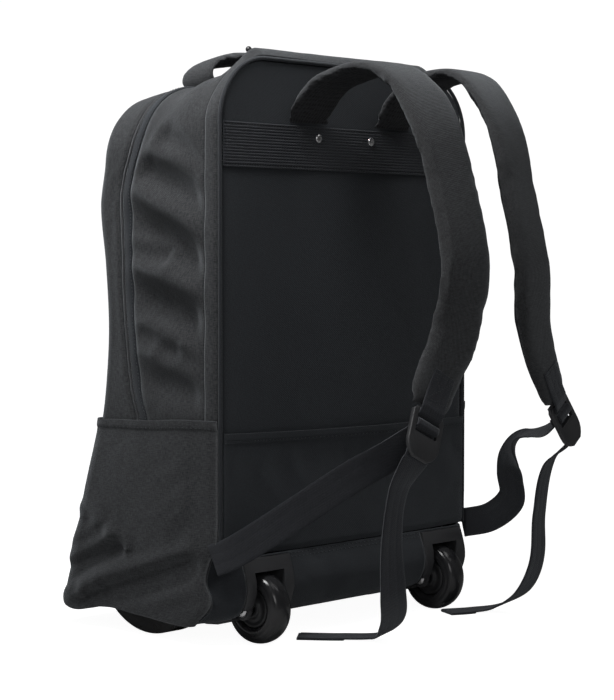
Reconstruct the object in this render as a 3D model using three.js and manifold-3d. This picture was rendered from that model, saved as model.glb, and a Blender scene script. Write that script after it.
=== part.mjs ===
// A wheeled backpack, standing upright on two wheels and two feet with its carrying straps out.
//
// While the bag is modelled, x = 0 is its middle, y = 0 is the outer face of its back panel with
// the front at +Y and the carrying straps on the -Y side, and z = 0 is the ground. Seen from
// behind, +X is to the right. At the end the whole model is moved so that the middle of the
// underside of its bounding box is the origin. Millimetres.

import * as THREE from 'three';
import { mergeVertices } from 'three/addons/utils/BufferGeometryUtils.js';
import Module from 'manifold-3d';

const wasm = await Module();
wasm.setup();

// The bag as a whole
const bagWidth = 330;
const bagHeight = 508;
const topDepth = 146;
const bottomDepth = 206;
const topFall = 42;
const crestRise = 8;
const cornerRadius = 57;
const frontRadius = 16;
const sideFullness = 4;
const groundGap = 18;
const frontRise = 1.5;
const cornerPull = 14;

// Cloth, seams and the running clearance between neighbours
const cloth = 1.6;
const clearance = 0.35;
const pipingRadius = 1.8;
const foldDepth = 5;

// Bands of the sides and top, measured forward from the back panel
const edgeStripWidth = 14;
const zipWidth = 15;
const zipOverlap = 8;

// Back panel and what is sewn to it
const boardThickness = 7;
const boardCrown = 2;
const bandHeight = 38;
const bandTop = 0.872 * bagHeight;
const bandThickness = 1.5;
const rivetRadius = 4;
const rivetSpacing = 70;
const rivetMiddle = -9;
const rivetDrop = 10;
const lowerPocketTop = 182;
const baseSeam = 77;
const rearBulge = 14;
const hemHeight = 8;
const hemLayers = 1.6;

// Side pockets
const sidePocketTop = 194;
const pocketFullness = 3;
const pocketLift = 1.3;

// Base, wheel housings, wheels and feet
const baseThickness = 3;
const wheelRadius = 31;
const wheelWidth = 22;
const wheelTrack = 237;
const wheelAxleY = -2;
const hubRadius = 17;
const hubRecess = 3;
const axleRadius = 4;
const axleHeadRadius = 6;
const wellGap = 4;
const wellWall = 3;
const housingWidth = 57;
const housingProud = 2;
const housingReach = 50;
const slotSideGap = 7;
const lugRadius = 9;
const runningGap = 0.4;
const footRadius = 70;
const footThickness = 20;
const footTrack = 278;
const footY = 102;
const footRearReach = 48;
const footFrontReach = 50;

// Carrying straps, their webbing and buckles
const strapReach = 166;
const strapLength = 446;
const strapWidth = 62;
const strapPad = 10;
const webbingWidth = 27;
const webbingThickness = 1.5;
const patchLength = 40;
const buckleWidth = 34;
const buckleLength = 42;
const buckleThickness = 4;
const buckleBar = 5;
const buckleSlot = 5.5;
const seatReach = { 1: 0.45, 2: -0.08 };
const tailWidth = 24;
const tailEndLength = 28;
const tailEndLayers = 1.7;
const tailLength = 280;

// Grab handle on the top
const handleSpan = 160;
const handleRise = 34;
const handleWidth = 43;
const handleThickness = 7;
const handleY = 106;

const halfWidth = bagWidth / 2;
const strapEnd = 1 - (buckleLength / 2 + 4 * clearance) / strapLength;
const archBase = bagHeight - cornerRadius;

// Depth of the bag against height: shares of the bag's height, and of the way from the depth at
// the top to the depth at the bottom.
const depthRows = [
  { height: 0.035, depth: 1.0 },
  { height: 0.09, depth: 0.86 },
  { height: 0.15, depth: 0.69 },
  { height: 0.275, depth: 0.38 },
  { height: 0.385, depth: 0.14 },
  { height: 0.47, depth: 0.04 },
  { height: 0.56, depth: 0.0 },
  { height: 0.68, depth: 0.06 },
  { height: 0.8, depth: 0.16 },
  { height: 0.88, depth: 0.06 },
  { height: 1.0, depth: 0.0 },
];

// Fall of the top towards the front: shares of the depth at the top and of the whole fall.
const fallRows = [
  { depth: 0.0, fall: 0.19 },
  { depth: 0.085, fall: 0.19 },
  { depth: 0.28, fall: 0.26 },
  { depth: 0.535, fall: 0.62 },
  { depth: 0.87, fall: 0.82 },
  { depth: 1.0, fall: 1.0 },
];

// Crest that stands up along the rear of the flat top: shares of the depth at the top and of its rise.
const crestRows = [
  { depth: 0.0, rise: 0.0 },
  { depth: 0.085, rise: 1.0 },
  { depth: 0.28, rise: 0.05 },
  { depth: 0.4, rise: 0.0 },
];

// Place of the side zip: shares of the bag's height and of its depth there.
const zipRows = [
  { height: 0.38, depth: 0.59 },
  { height: 0.44, depth: 0.67 },
  { height: 0.58, depth: 0.75 },
  { height: 0.75, depth: 0.74 },
  { height: 0.85, depth: 0.725 },
  { height: 0.92, depth: 0.67 },
  { height: 1.0, depth: 0.645 },
];

// Pull of the lower rear corner of each side: shares of the bag's height and of the whole pull.
const pullRows = [
  { height: 0.035, pull: 2.0 },
  { height: 0.069, pull: 0.6 },
  { height: 0.114, pull: 1.0 },
  { height: 0.175, pull: 0.1 },
  { height: 0.21, pull: 0.0 },
];

// Soft folds that slant across each side, in shares of the bag's height and of the depth at the
// top: from a start near the zip to an end near the rear edge, with a width and a share of the
// fold depth. A minus share stands proud.
const sideFolds = [
  { fromDepth: 0.58, fromHeight: 0.835, toDepth: 0.19, toHeight: 0.77, width: 0.028, share: 0.8 },
  { fromDepth: 0.66, fromHeight: 0.74, toDepth: 0.14, toHeight: 0.65, width: 0.032, share: 1.0 },
  { fromDepth: 0.66, fromHeight: 0.625, toDepth: 0.14, toHeight: 0.55, width: 0.032, share: 0.7 },
  { fromDepth: 0.56, fromHeight: 0.52, toDepth: 0.19, toHeight: 0.45, width: 0.028, share: 0.4 },
];

// Folds of the side pockets, which run up from the lower front corner.
const pocketFolds = [
  { fromDepth: 1.34, fromHeight: 0.065, toDepth: 1.08, toHeight: 0.095, width: 0.016, share: 0.6 },
  { fromDepth: 1.2, fromHeight: 0.045, toDepth: 0.49, toHeight: 0.11, width: 0.02, share: 0.7 },
];

// Profile of the base in the YZ plane, from the seam on the back round to the front: shares of
// the bulge at the rear and of the depth at the bottom add up to y, and height is the share of
// the way from the underside up to the base's seam.
const baseRows = [
  { at: 0.0, bulge: -0.55, depth: 0.0, height: 1.0 },
  { at: 0.08, bulge: -0.95, depth: 0.0, height: 0.72 },
  { at: 0.15, bulge: -1.05, depth: 0.0, height: 0.5 },
  { at: 0.2, bulge: -0.8, depth: 0.0, height: 0.31 },
  { at: 0.26, bulge: -0.3, depth: 0.0, height: 0.16 },
  { at: 0.33, bulge: 0.0, depth: 0.07, height: 0.04 },
  { at: 0.4, bulge: 0.0, depth: 0.16, height: 0.0 },
  { at: 0.55, bulge: 0.0, depth: 0.34, height: 0.05 },
  { at: 0.75, bulge: 0.0, depth: 0.64, height: 0.08 },
  { at: 1.0, bulge: 0.0, depth: 0.975, height: 0.1 },
];

// Course of a carrying strap from the back panel, up, over and down to its buckle. at is the
// share along it, side is a share of half the bag's width, back of the strap's reach and height
// of the bag's height. splay and droop turn its width, and width and pad are shares of its own.
const strapRows = [
  { at: 0.0, side: 0.345, back: 0.018, height: 0.8775, splay: 0, droop: 0, width: 0.94, pad: 0.35 },
  { at: 0.055, side: 0.345, back: 0.084, height: 0.917, splay: 0, droop: 0, width: 0.95, pad: 0.7 },
  { at: 0.115, side: 0.34, back: 0.21, height: 0.948, splay: 0, droop: 0, width: 0.96, pad: 1 },
  { at: 0.24, side: 0.315, back: 0.54, height: 0.962, splay: 0.05, droop: 0, width: 1, pad: 1 },
  { at: 0.365, side: 0.291, back: 0.783, height: 0.888, splay: 0.1, droop: 0, width: 1, pad: 1 },
  { at: 0.515, side: 0.273, back: 0.916, height: 0.764, splay: 0.13, droop: 0, width: 1, pad: 1 },
  { at: 0.66, side: 0.273, back: 1.0, height: 0.64, splay: 0.13, droop: 0, width: 1, pad: 1 },
  { at: 0.79, side: 0.333, back: 0.982, height: 0.528, splay: 0.13, droop: 0.05, width: 0.96, pad: 1 },
  { at: 0.916, side: 0.485, back: 0.965, height: 0.429, splay: 0.15, droop: 0.2, width: 0.78, pad: 1 },
  { at: 1.0, side: 0.594, back: 1.0, height: 0.366, splay: 0.16, droop: 0.33, width: 0.62, pad: 0.6 },
];

// Course of each lower webbing from below its buckle to the seam at the bottom corner: side is a
// share of half the bag's width, back of the strap's reach and height of the bag's height. turnX,
// turnY and turnZ point along its width. The left one is pulled straight, the right one is slack
// and twists once.
const webbingRows = {
  left: [
    { at: 0.22, side: 0.645, back: 0.81, height: 0.33, turnX: 0.6, turnY: -0.3, turnZ: -0.65 },
    { at: 0.36, side: 0.71, back: 0.65, height: 0.298, turnX: 0.4, turnY: -0.38, turnZ: -0.83 },
    { at: 0.66, side: 0.85, back: 0.3, height: 0.217, turnX: 0.3, turnY: -0.4, turnZ: -0.86 },
    { at: 0.88, side: 0.972, back: 0.08, height: 0.165, turnX: 0.15, turnY: -0.35, turnZ: -0.9 },
    { at: 1.0, side: 1.02, back: -0.03, height: 0.148, turnX: 0.0, turnY: -0.3, turnZ: -0.95 },
  ],
  right: [
    { at: 0.15, side: 0.612, back: 0.9, height: 0.356, turnX: 0.92, turnY: 0.2, turnZ: 0.46 },
    { at: 0.27, side: 0.7, back: 0.75, height: 0.344, turnX: 0.93, turnY: 0.3, turnZ: 0.2 },
    { at: 0.38, side: 0.75, back: 0.58, height: 0.326, turnX: 0.8, turnY: 0.6, turnZ: 0.0 },
    { at: 0.5, side: 0.83, back: 0.46, height: 0.286, turnX: 0.3, turnY: 0.95, turnZ: 0.1 },
    { at: 0.6, side: 0.91, back: 0.4, height: 0.25, turnX: -0.3, turnY: 0.9, turnZ: 0.4 },
    { at: 0.72, side: 0.99, back: 0.35, height: 0.205, turnX: -0.4, turnY: 0.4, turnZ: 0.83 },
    { at: 0.86, side: 1.035, back: 0.17, height: 0.165, turnX: -0.1, turnY: 0.1, turnZ: 1.0 },
    { at: 1.0, side: 1.02, back: -0.03, height: 0.148, turnX: 0.0, turnY: 0.0, turnZ: 1.0 },
  ],
};

// Course of each free tail from below its buckle down to the ground, with the same columns.
const tailRows = {
  left: [
    { at: 0.2, side: 0.61, back: 0.855, height: 0.275, turnX: 1.0, turnY: 0.05, turnZ: -0.15 },
    { at: 0.38, side: 0.585, back: 0.79, height: 0.19, turnX: 1.0, turnY: -0.04, turnZ: 0.0 },
    { at: 0.59, side: 0.49, back: 0.72, height: 0.1, turnX: 0.96, turnY: -0.25, turnZ: 0.0 },
    { at: 0.72, side: 0.35, back: 0.6, height: 0.045, turnX: 1.0, turnY: -0.1, turnZ: 0.0 },
    { at: 0.82, side: 0.25, back: 0.43, height: 0.01, turnX: 0.9, turnY: 0.4, turnZ: 0.0 },
    { at: 0.91, side: 0.34, back: 0.24, height: 0.0035, turnX: 0.78, turnY: 0.62, turnZ: 0.0 },
    { at: 1.0, side: 0.48, back: 0.06, height: 0.0035, turnX: 0.74, turnY: 0.67, turnZ: 0.0 },
  ],
  right: [
    { at: 0.2, side: 0.67, back: 0.84, height: 0.29, turnX: 1.0, turnY: 0.16, turnZ: 0.2 },
    { at: 0.38, side: 0.68, back: 0.77, height: 0.2, turnX: 1.0, turnY: 0.17, turnZ: 0.0 },
    { at: 0.57, side: 0.74, back: 0.71, height: 0.112, turnX: 1.0, turnY: 0.1, turnZ: 0.0 },
    { at: 0.7, side: 0.82, back: 0.56, height: 0.048, turnX: 0.9, turnY: 0.05, turnZ: 0.0 },
    { at: 0.81, side: 0.86, back: 0.36, height: 0.012, turnX: 0.9, turnY: 0.35, turnZ: 0.0 },
    { at: 0.9, side: 0.77, back: 0.25, height: 0.0035, turnX: 0.7, turnY: 0.7, turnZ: 0.0 },
    { at: 1.0, side: 0.62, back: 0.18, height: 0.0035, turnX: 0.6, turnY: 0.8, turnZ: 0.0 },
  ],
};

// Colours and finishes
const finishes = {
  melange: { color: 0x37383c, roughness: 0.95, metalness: 0 },
  panel: { color: 0x222327, roughness: 0.95, metalness: 0 },
  webbing: { color: 0x2e2f33, roughness: 0.9, metalness: 0 },
  zip: { color: 0x17181a, roughness: 0.8, metalness: 0 },
  plastic: { color: 0x2b2c2f, roughness: 0.55, metalness: 0 },
  tyre: { color: 0x101113, roughness: 0.2, metalness: 0 },
  metal: { color: 0xc9cacc, roughness: 0.25, metalness: 1 },
};

const bag = new THREE.Group();

function addPiece(name, geometry, finish, group = bag) {
  const mesh = new THREE.Mesh(geometry, new THREE.MeshStandardMaterial(finishes[finish]));
  mesh.name = name;
  group.add(mesh);
  return mesh;
}

// Value of one column of a table at a place between its rows, as a smooth curve through them.
function valueAt(rows, key, column, place) {
  const last = rows.length - 1;
  if (place <= rows[0][key]) return rows[0][column];
  if (place >= rows[last][key]) return rows[last][column];
  const i = rows.findIndex((row, n) => n < last && place < rows[n + 1][key]);
  const slopeAt = (n) => {
    const before = rows[Math.max(n - 1, 0)];
    const after = rows[Math.min(n + 1, last)];
    return (after[column] - before[column]) / (after[key] - before[key]);
  };
  const step = rows[i + 1][key] - rows[i][key];
  const t = (place - rows[i][key]) / step;
  const rise = rows[i + 1][column] - rows[i][column];
  return rows[i][column] + rise * t * t * (3 - 2 * t)
    + step * slopeAt(i) * t * (1 - t) * (1 - t) - step * slopeAt(i + 1) * t * t * (1 - t);
}

// Turns a closed geometry's faces outwards and joins its shared vertices.
function closed(geometry) {
  geometry.deleteAttribute('normal');
  geometry.deleteAttribute('uv');
  const merged = mergeVertices(geometry, 1e-4);
  const index = merged.getIndex();
  const corner = [0, 1, 2].map(() => new THREE.Vector3());
  let volume = 0;
  for (let i = 0; i < index.count; i += 3) {
    corner.forEach((point, n) => point.fromBufferAttribute(merged.attributes.position, index.getX(i + n)));
    volume += corner[0].dot(corner[1].clone().cross(corner[2]));
  }
  if (volume < 0) {
    for (let i = 0; i < index.count; i += 3) {
      const swapped = index.getX(i + 1);
      index.setX(i + 1, index.getX(i + 2));
      index.setX(i + 2, swapped);
    }
  }
  merged.computeVertexNormals();
  return merged;
}

// A box of uSteps x vSteps x wSteps cells, bent into shape: place(u, v, w) gives the point for
// each share of its length, breadth and thickness.
function bentBox(uSteps, vSteps, wSteps, place) {
  const geometry = new THREE.BoxGeometry(1, 1, 1, uSteps, vSteps, wSteps);
  const position = geometry.attributes.position;
  for (let i = 0; i < position.count; i += 1) {
    const point = place(position.getX(i) + 0.5, position.getY(i) + 0.5, position.getZ(i) + 0.5);
    position.setXYZ(i, point.x, point.y, point.z);
  }
  return closed(geometry);
}

function toManifold(geometry) {
  return new wasm.Manifold(new wasm.Mesh({
    numProp: 3,
    vertProperties: new Float32Array(geometry.attributes.position.array),
    triVerts: new Uint32Array(geometry.getIndex().array),
  }));
}

function fromManifold(solid) {
  const mesh = solid.getMesh();
  const geometry = new THREE.BufferGeometry();
  geometry.setAttribute('position', new THREE.BufferAttribute(mesh.vertProperties, 3));
  geometry.setIndex(new THREE.BufferAttribute(mesh.triVerts, 1));
  geometry.computeVertexNormals();
  return geometry;
}

// A cylinder or a block as a solid for joining and cutting. A cylinder lies along X.
function rod(radius, length, x, y, z, sides = 24) {
  const geometry = new THREE.CylinderGeometry(radius, radius, length, sides);
  geometry.rotateZ(Math.PI / 2);
  geometry.translate(x, y, z);
  return toManifold(closed(geometry));
}

function block(low, high) {
  const geometry = new THREE.BoxGeometry(high[0] - low[0], high[1] - low[1], high[2] - low[2]);
  geometry.translate((low[0] + high[0]) / 2, (low[1] + high[1]) / 2, (low[2] + high[2]) / 2);
  return toManifold(closed(geometry));
}

// Sides and top: one arched skin
const fallAt = (y) => topFall * valueAt(fallRows, 'depth', 'fall', y / topDepth);
const crestAt = (y) => crestRise * valueAt(crestRows, 'depth', 'rise', y / topDepth);
const depthAt = (height) => topDepth
  + (bottomDepth - topDepth) * valueAt(depthRows, 'height', 'depth', height / bagHeight);
const pullAt = (height) => cornerPull * valueAt(pullRows, 'height', 'pull', height / bagHeight);
const zipAt = (height) => depthAt(height) * valueAt(zipRows, 'height', 'depth', height / bagHeight);

const sideSteps = 16;
const cornerSteps = 5;
const topSteps = 6;
const turnSteps = 3;
const archSteps = 2 * (sideSteps + cornerSteps) + topSteps;
const skinBottom = groundGap + frontRise + 3 * baseThickness;

// A place on the outline of the skin: which way it faces, its x, and its height at a depth y.
function sideStation(side, height) {
  const share = (height - groundGap) / (archBase - groundGap);
  return {
    height,
    share,
    nx: side,
    nz: 0,
    x: side * halfWidth,
    zAt: (y) => height - fallAt(y) * Math.max(share, 0) ** 2,
  };
}

function archStation(s) {
  const mirrored = s > 0.5;
  const side = mirrored ? 1 : -1;
  const place = (mirrored ? 1 - s : s) * archSteps;
  if (place <= sideSteps) {
    return sideStation(side, skinBottom + (archBase - skinBottom) * (place / sideSteps));
  }
  const angle = Math.min((place - sideSteps) / cornerSteps, 1) * (Math.PI / 2);
  const along = Math.max(place - sideSteps - cornerSteps, 0) / topSteps;
  const rise = cornerRadius * Math.sin(angle);
  const inner = halfWidth - cornerRadius;
  return {
    height: archBase + rise,
    share: 1,
    nx: side * Math.cos(angle),
    nz: Math.sin(angle),
    x: side * (inner + cornerRadius * Math.cos(angle) - 2 * inner * along),
    zAt: (y) => archBase + rise - fallAt(y) + crestAt(y) * Math.sin(angle) ** 12,
  };
}

function foldsAt(folds, y, z) {
  let depth = 0;
  for (const fold of folds) {
    const a = new THREE.Vector2(fold.fromDepth * topDepth, fold.fromHeight * bagHeight);
    const b = new THREE.Vector2(fold.toDepth * topDepth, fold.toHeight * bagHeight);
    const line = b.clone().sub(a);
    const point = new THREE.Vector2(y, z).sub(a);
    const t = THREE.MathUtils.clamp(point.dot(line) / line.lengthSq(), 0, 1);
    const distance = point.sub(line.multiplyScalar(t)).length();
    depth += fold.share * foldDepth * Math.exp(-((distance / (fold.width * bagHeight)) ** 2));
  }
  return depth;
}

// A point of the skin at a station: forward is the way along the cloth from the back panel, which
// turns round the front edge onto the front face, and out is the height over the outline.
function skinPoint(station, forward, out) {
  const flat = depthAt(station.height) - frontRadius;
  const turn = THREE.MathUtils.clamp((forward - flat) / frontRadius, 0, Math.PI / 2);
  const y = Math.min(forward, flat) + (frontRadius + out) * Math.sin(turn);
  const offset = turn > 0 ? (frontRadius + out) * Math.cos(turn) - frontRadius : out;
  return new THREE.Vector3(
    station.x + station.nx * offset,
    y,
    station.zAt(Math.min(y, flat)) + station.nz * offset,
  );
}

// The way forward for a share of a band's breadth: even steps up to the front edge, then even
// steps of the turn round it.
function forwardAt(height, from, to, steps, turnSteps, share) {
  const row = share * (steps + turnSteps);
  const flat = turnSteps > 0 ? depthAt(height) - frontRadius : to(height);
  if (row <= steps) return THREE.MathUtils.lerp(from(height), flat, row / steps);
  return THREE.MathUtils.lerp(flat, to(height), (row - steps) / turnSteps);
}

// How far the cloth of the sides stands out between its seams, with its folds.
function fullnessAt(station, forward) {
  if (station.nz > 0) return 0;
  const flat = depthAt(station.height) - frontRadius;
  const across = Math.sin(Math.PI * THREE.MathUtils.clamp(forward / flat, 0, 1));
  const up = Math.sin(Math.PI * THREE.MathUtils.clamp(station.share, 0, 1));
  return across * (sideFullness * up - foldsAt(sideFolds, forward, station.height));
}

// A band of the skin between two lines, given as functions of the height.
// It starts and ends at a station of the arch, and its last steps may follow the front edge round.
function skinBand({ from, to, steps, firstStation = 0, turnSteps = 0 }) {
  return bentBox(archSteps - 2 * firstStation, steps + turnSteps, 1, (u, v, w) => {
    const station = archStation((firstStation + (archSteps - 2 * firstStation) * u) / archSteps);
    const forward = forwardAt(station.height, from, to, steps, turnSteps, v);
    return skinPoint(station, forward, fullnessAt(station, forward) - cloth * (1 - w));
  });
}

const pipingForward = pipingRadius + clearance;
const edgeStripEnd = (height) => pullAt(height) + pipingForward + edgeStripWidth;
const zipStart = (height) => zipAt(height) - zipWidth / 2;
const zipEnd = (height) => zipAt(height) + zipWidth / 2;
const frontSeam = (height) => depthAt(height) + frontRadius * (Math.PI / 2 - 1) - clearance;

addPiece('rear_edge_strip', skinBand({
  from: (height) => pullAt(height) + pipingForward,
  to: edgeStripEnd,
  steps: 1,
}), 'panel');

addPiece('main_gusset', skinBand({
  from: (height) => edgeStripEnd(height) + clearance,
  to: (height) => zipStart(height) - clearance,
  steps: 5,
}), 'melange');

addPiece('side_zip', skinBand({
  from: zipStart,
  to: zipEnd,
  steps: 1,
  firstStation: Math.floor(sideSteps * ((sidePocketTop - zipOverlap - skinBottom) / (archBase - skinBottom))),
}), 'zip');

addPiece('front_gusset', skinBand({
  from: (height) => zipEnd(height) + clearance,
  to: frontSeam,
  steps: 1,
  turnSteps,
}), 'melange');

// Side pockets, an outer layer of cloth from the bottom edge up to a folded hem
const pocketBottomAt = (y) => groundGap
  + frontRise * THREE.MathUtils.smoothstep(y, 0.15 * bottomDepth, 0.4 * bottomDepth);

const pocketSteps = 4;
const pocketLevels = 7;
const pocketRear = (height) => pullAt(height) + clearance;

function pocketPoint(side, u, v, w) {
  const hemStart = sidePocketTop - hemHeight;
  const row = Math.round(v * (pocketLevels + 2));
  const share = Math.min(row / pocketLevels, 1);
  const isHem = row > pocketLevels;
  const level = THREE.MathUtils.lerp(groundGap, hemStart, share);
  const forward = forwardAt(level, pocketRear, frontSeam, pocketSteps, turnSteps, u);
  const bottom = pocketBottomAt(forward);
  const height = isHem
    ? THREE.MathUtils.lerp(hemStart, sidePocketTop, row - pocketLevels === 2 ? 1 : 0.02)
    : THREE.MathUtils.lerp(bottom, hemStart, share);
  const station = sideStation(side, height);
  const full = fullnessAt(station, forward);
  const round = Math.sin(Math.PI * u) * Math.sin(Math.PI * Math.min(share, 0.97));
  const folds = round * foldsAt(pocketFolds, forward, height);
  const thickness = isHem ? hemLayers * cloth : cloth;
  const standing = Math.max(full, 0) + pocketLift + Math.max(pocketFullness * round - folds, 0);
  return skinPoint(station, forward, standing + thickness * w);
}

for (const [name, side] of [['left', -1], ['right', 1]]) {
  addPiece(`side_pocket_${name}`, bentBox(
    pocketSteps + turnSteps,
    pocketLevels + 2,
    1,
    (u, v, w) => pocketPoint(side, u, v, w),
  ), 'melange');
}

// A flat panel with rounded top corners, inside the skin by an inset: even rows up to the
// corners, then one row for each step of the turn.
function panel({ inset, bottom, top, columns, rows, face }) {
  const radius = cornerRadius - inset;
  return bentBox(columns, rows + cornerSteps, 1, (u, v, w) => {
    const row = v * (rows + cornerSteps);
    const angle = Math.max(row - rows, 0) * (Math.PI / 2 / cornerSteps);
    const z = row <= rows
      ? THREE.MathUtils.lerp(bottom, top - radius, row / rows)
      : top - radius + radius * Math.sin(angle);
    const half = halfWidth - inset - radius * (1 - Math.cos(angle));
    return face(half * Math.sin((u - 0.5) * Math.PI), z, w);
  });
}

const backInset = 2 * pipingRadius + 2 * clearance;
const backTop = bagHeight - topFall * fallRows[0].fall - backInset;
const backCrownAt = (x, z) => boardCrown
  * Math.max(1 - (x / (halfWidth - backInset)) ** 2, 0)
  * Math.max(Math.sin((Math.PI * (z - baseSeam)) / (backTop - baseSeam)), 0);

addPiece('back_panel', panel({
  inset: backInset,
  bottom: baseSeam + clearance,
  top: backTop,
  columns: 8,
  rows: 6,
  face: (x, z, w) => new THREE.Vector3(x, -backCrownAt(x, z) + w * boardThickness, z),
}), 'panel');

// The front face: a plain crowned panel inside the seam of the front gusset
const frontInset = frontRadius + clearance;
const frontFall = fallAt(topDepth - frontRadius);
const frontTop = bagHeight - frontFall - frontInset;
const frontCrown = 5;
const frontBottom = groundGap + frontRise + baseThickness + 2 * clearance;
addPiece('front_panel', panel({
  inset: frontInset,
  bottom: frontBottom,
  top: frontTop,
  columns: 6,
  rows: 7,
  face: (x, z, w) => {
    const across = 1 - (x / (halfWidth - frontInset)) ** 2;
    const share = THREE.MathUtils.clamp((z - groundGap) / (archBase - frontFall - groundGap), 0, 1);
    const y = depthAt(z + frontFall * share ** 2) + frontCrown * across * Math.sin(Math.PI * share);
    return new THREE.Vector3(x, y - cloth * (1 - w), z);
  },
}), 'melange');

// Piping round the back panel, from the base seam up, over the top and down
addPiece('back_piping', bentBox(archSteps, 2, 1, (u, v, w) => {
  const station = archStation(u);
  const share = (station.height - skinBottom) / (archBase - skinBottom);
  const z = station.share < 1
    ? THREE.MathUtils.lerp(baseSeam + clearance, archBase - fallAt(0), share)
    : station.zAt(0);
  const inward = 2 * v * pipingRadius;
  const half = v === 0.5 ? pipingRadius : pipingRadius / 2;
  return new THREE.Vector3(
    station.x - station.nx * inward,
    (2 * w - 1) * half,
    z - station.nz * inward,
  );
}), 'zip');

// Ribbed webbing across the back panel, with a rivet under each carrying strap
const bandHalf = halfWidth - backInset - 2 * clearance;
const bandFaceAt = (x, z) => -backCrownAt(x, z) - clearance;
addPiece('webbing_band', bentBox(10, 2, 1, (u, v, w) => {
  const x = THREE.MathUtils.lerp(-bandHalf, bandHalf, u);
  const z = bandTop - bandHeight * (1 - v);
  return new THREE.Vector3(x, bandFaceAt(x, z) - w * bandThickness, z);
}), 'webbing');

const rivetHead = 1.4;
const rivetZ = bandTop - rivetDrop;
for (const [name, side] of [['left', -1], ['right', 1]]) {
  const head = new THREE.CylinderGeometry(rivetRadius, rivetRadius * 0.7, rivetHead, 12);
  const x = rivetMiddle + (side * rivetSpacing) / 2;
  const rivetY = bandFaceAt(x, rivetZ) - bandThickness - clearance - rivetHead / 2;
  addPiece(`rivet_${name}`, closed(head), 'metal').position.set(x, rivetY, rivetZ);
}

// Lower pocket on the back, whose hem sags a little, and which fills out towards the base
const lowerPocketHalf = halfWidth - backInset + clearance;
const hemSag = 4;
addPiece('lower_back_pocket', bentBox(10, 6, 1, (u, v, w) => {
  const x = lowerPocketHalf * Math.sin((u - 0.5) * Math.PI);
  const round = 1 - (x / lowerPocketHalf) ** 4;
  const top = lowerPocketTop - hemSag * (1 - ((x - 0.4 * halfWidth) / (1.4 * halfWidth)) ** 2);
  const share = Math.min(v * 1.2, 1);
  const isHem = v > 0.99;
  const z = isHem ? top : THREE.MathUtils.lerp(baseSeam + 2 * clearance, top - hemHeight, share);
  const bulge = rearBulge * 0.5 * round * (1 - share) ** 1.3;
  const thickness = v > 0.8 ? hemLayers * cloth : cloth;
  const inner = -backCrownAt(x, z) - clearance - bulge;
  return new THREE.Vector3(x, inner - w * thickness, z);
}), 'panel');

// Base: one stiff panel from the seam on the back, round the lower edge and under the bag
const profileY = (at) => rearBulge * valueAt(baseRows, 'at', 'bulge', at)
  + bottomDepth * valueAt(baseRows, 'at', 'depth', at);
const profileZ = (at) => groundGap + (baseSeam - groundGap) * valueAt(baseRows, 'at', 'height', at);

// A point of the base's profile, moved out of the bag by a distance square to it.
function profilePoint(at, out) {
  const step = 0.004;
  const low = Math.max(at - step, 0);
  const high = Math.min(at + step, 1);
  const dy = profileY(high) - profileY(low);
  const dz = profileZ(high) - profileZ(low);
  const length = Math.hypot(dy, dz);
  return { y: profileY(at) + (out * dz) / length, z: profileZ(at) - (out * dy) / length };
}

const housingHalf = housingWidth / 2;
const baseHalf = halfWidth - cloth - 2 * clearance;
const cornerStart = wheelTrack / 2 + housingHalf + 2;
const basePanel = toManifold(bentBox(12, 20, 1, (u, v, w) => {
  const point = profilePoint(v, -baseThickness * (1 - w));
  const turn = Math.max(point.y - (bottomDepth - frontRadius), 0);
  const rounding = frontRadius - Math.sqrt(frontRadius ** 2 - turn ** 2);
  const x = (baseHalf - rounding) * Math.sin((u - 0.5) * Math.PI);
  const corner = THREE.MathUtils.smoothstep(Math.abs(x), cornerStart, baseHalf);
  const rear = Math.max(pullAt(point.z) + pipingForward - point.y, 0);
  return new THREE.Vector3(x, point.y + corner * rear, point.z);
}));

const housingTop = baseSeam - 2;
let cutBase = basePanel;
for (const side of [-1, 1]) {
  const x = (side * wheelTrack) / 2;
  cutBase = cutBase.subtract(block(
    [x - housingHalf - clearance, -4 * rearBulge, -groundGap],
    [x + housingHalf + clearance, housingReach + clearance, housingTop + clearance],
  ));
}
addPiece('base_panel', fromManifold(cutBase), 'panel');

// Wheel housings: a flange that follows the base's profile, round a well that is open to the
// back and to the ground, with a lug for the axle on each cheek
const wellRadius = wheelRadius + wellGap;
const slotHalf = wheelWidth / 2 + slotSideGap;
const cheekHalf = slotHalf + wellWall;
const axleZ = wheelRadius;

function profileSolid(out, back, low, high) {
  // The space above the base's profile, moved out by a distance, between two x values.
  const shape = new THREE.Shape();
  const steps = 20;
  for (let i = 0; i <= steps; i += 1) {
    const point = profilePoint(i / steps, out);
    if (i === 0) shape.moveTo(point.y, point.z);
    else shape.lineTo(point.y, point.z);
  }
  const deep = bottomDepth;
  shape.lineTo(deep, back);
  shape.lineTo(profilePoint(0, out).y, back);
  const geometry = new THREE.ExtrudeGeometry(shape, { depth: high - low, bevelEnabled: false });
  geometry.rotateY(Math.PI / 2);
  geometry.rotateX(Math.PI / 2);
  geometry.translate(low, 0, 0);
  return toManifold(closed(geometry));
}

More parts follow.
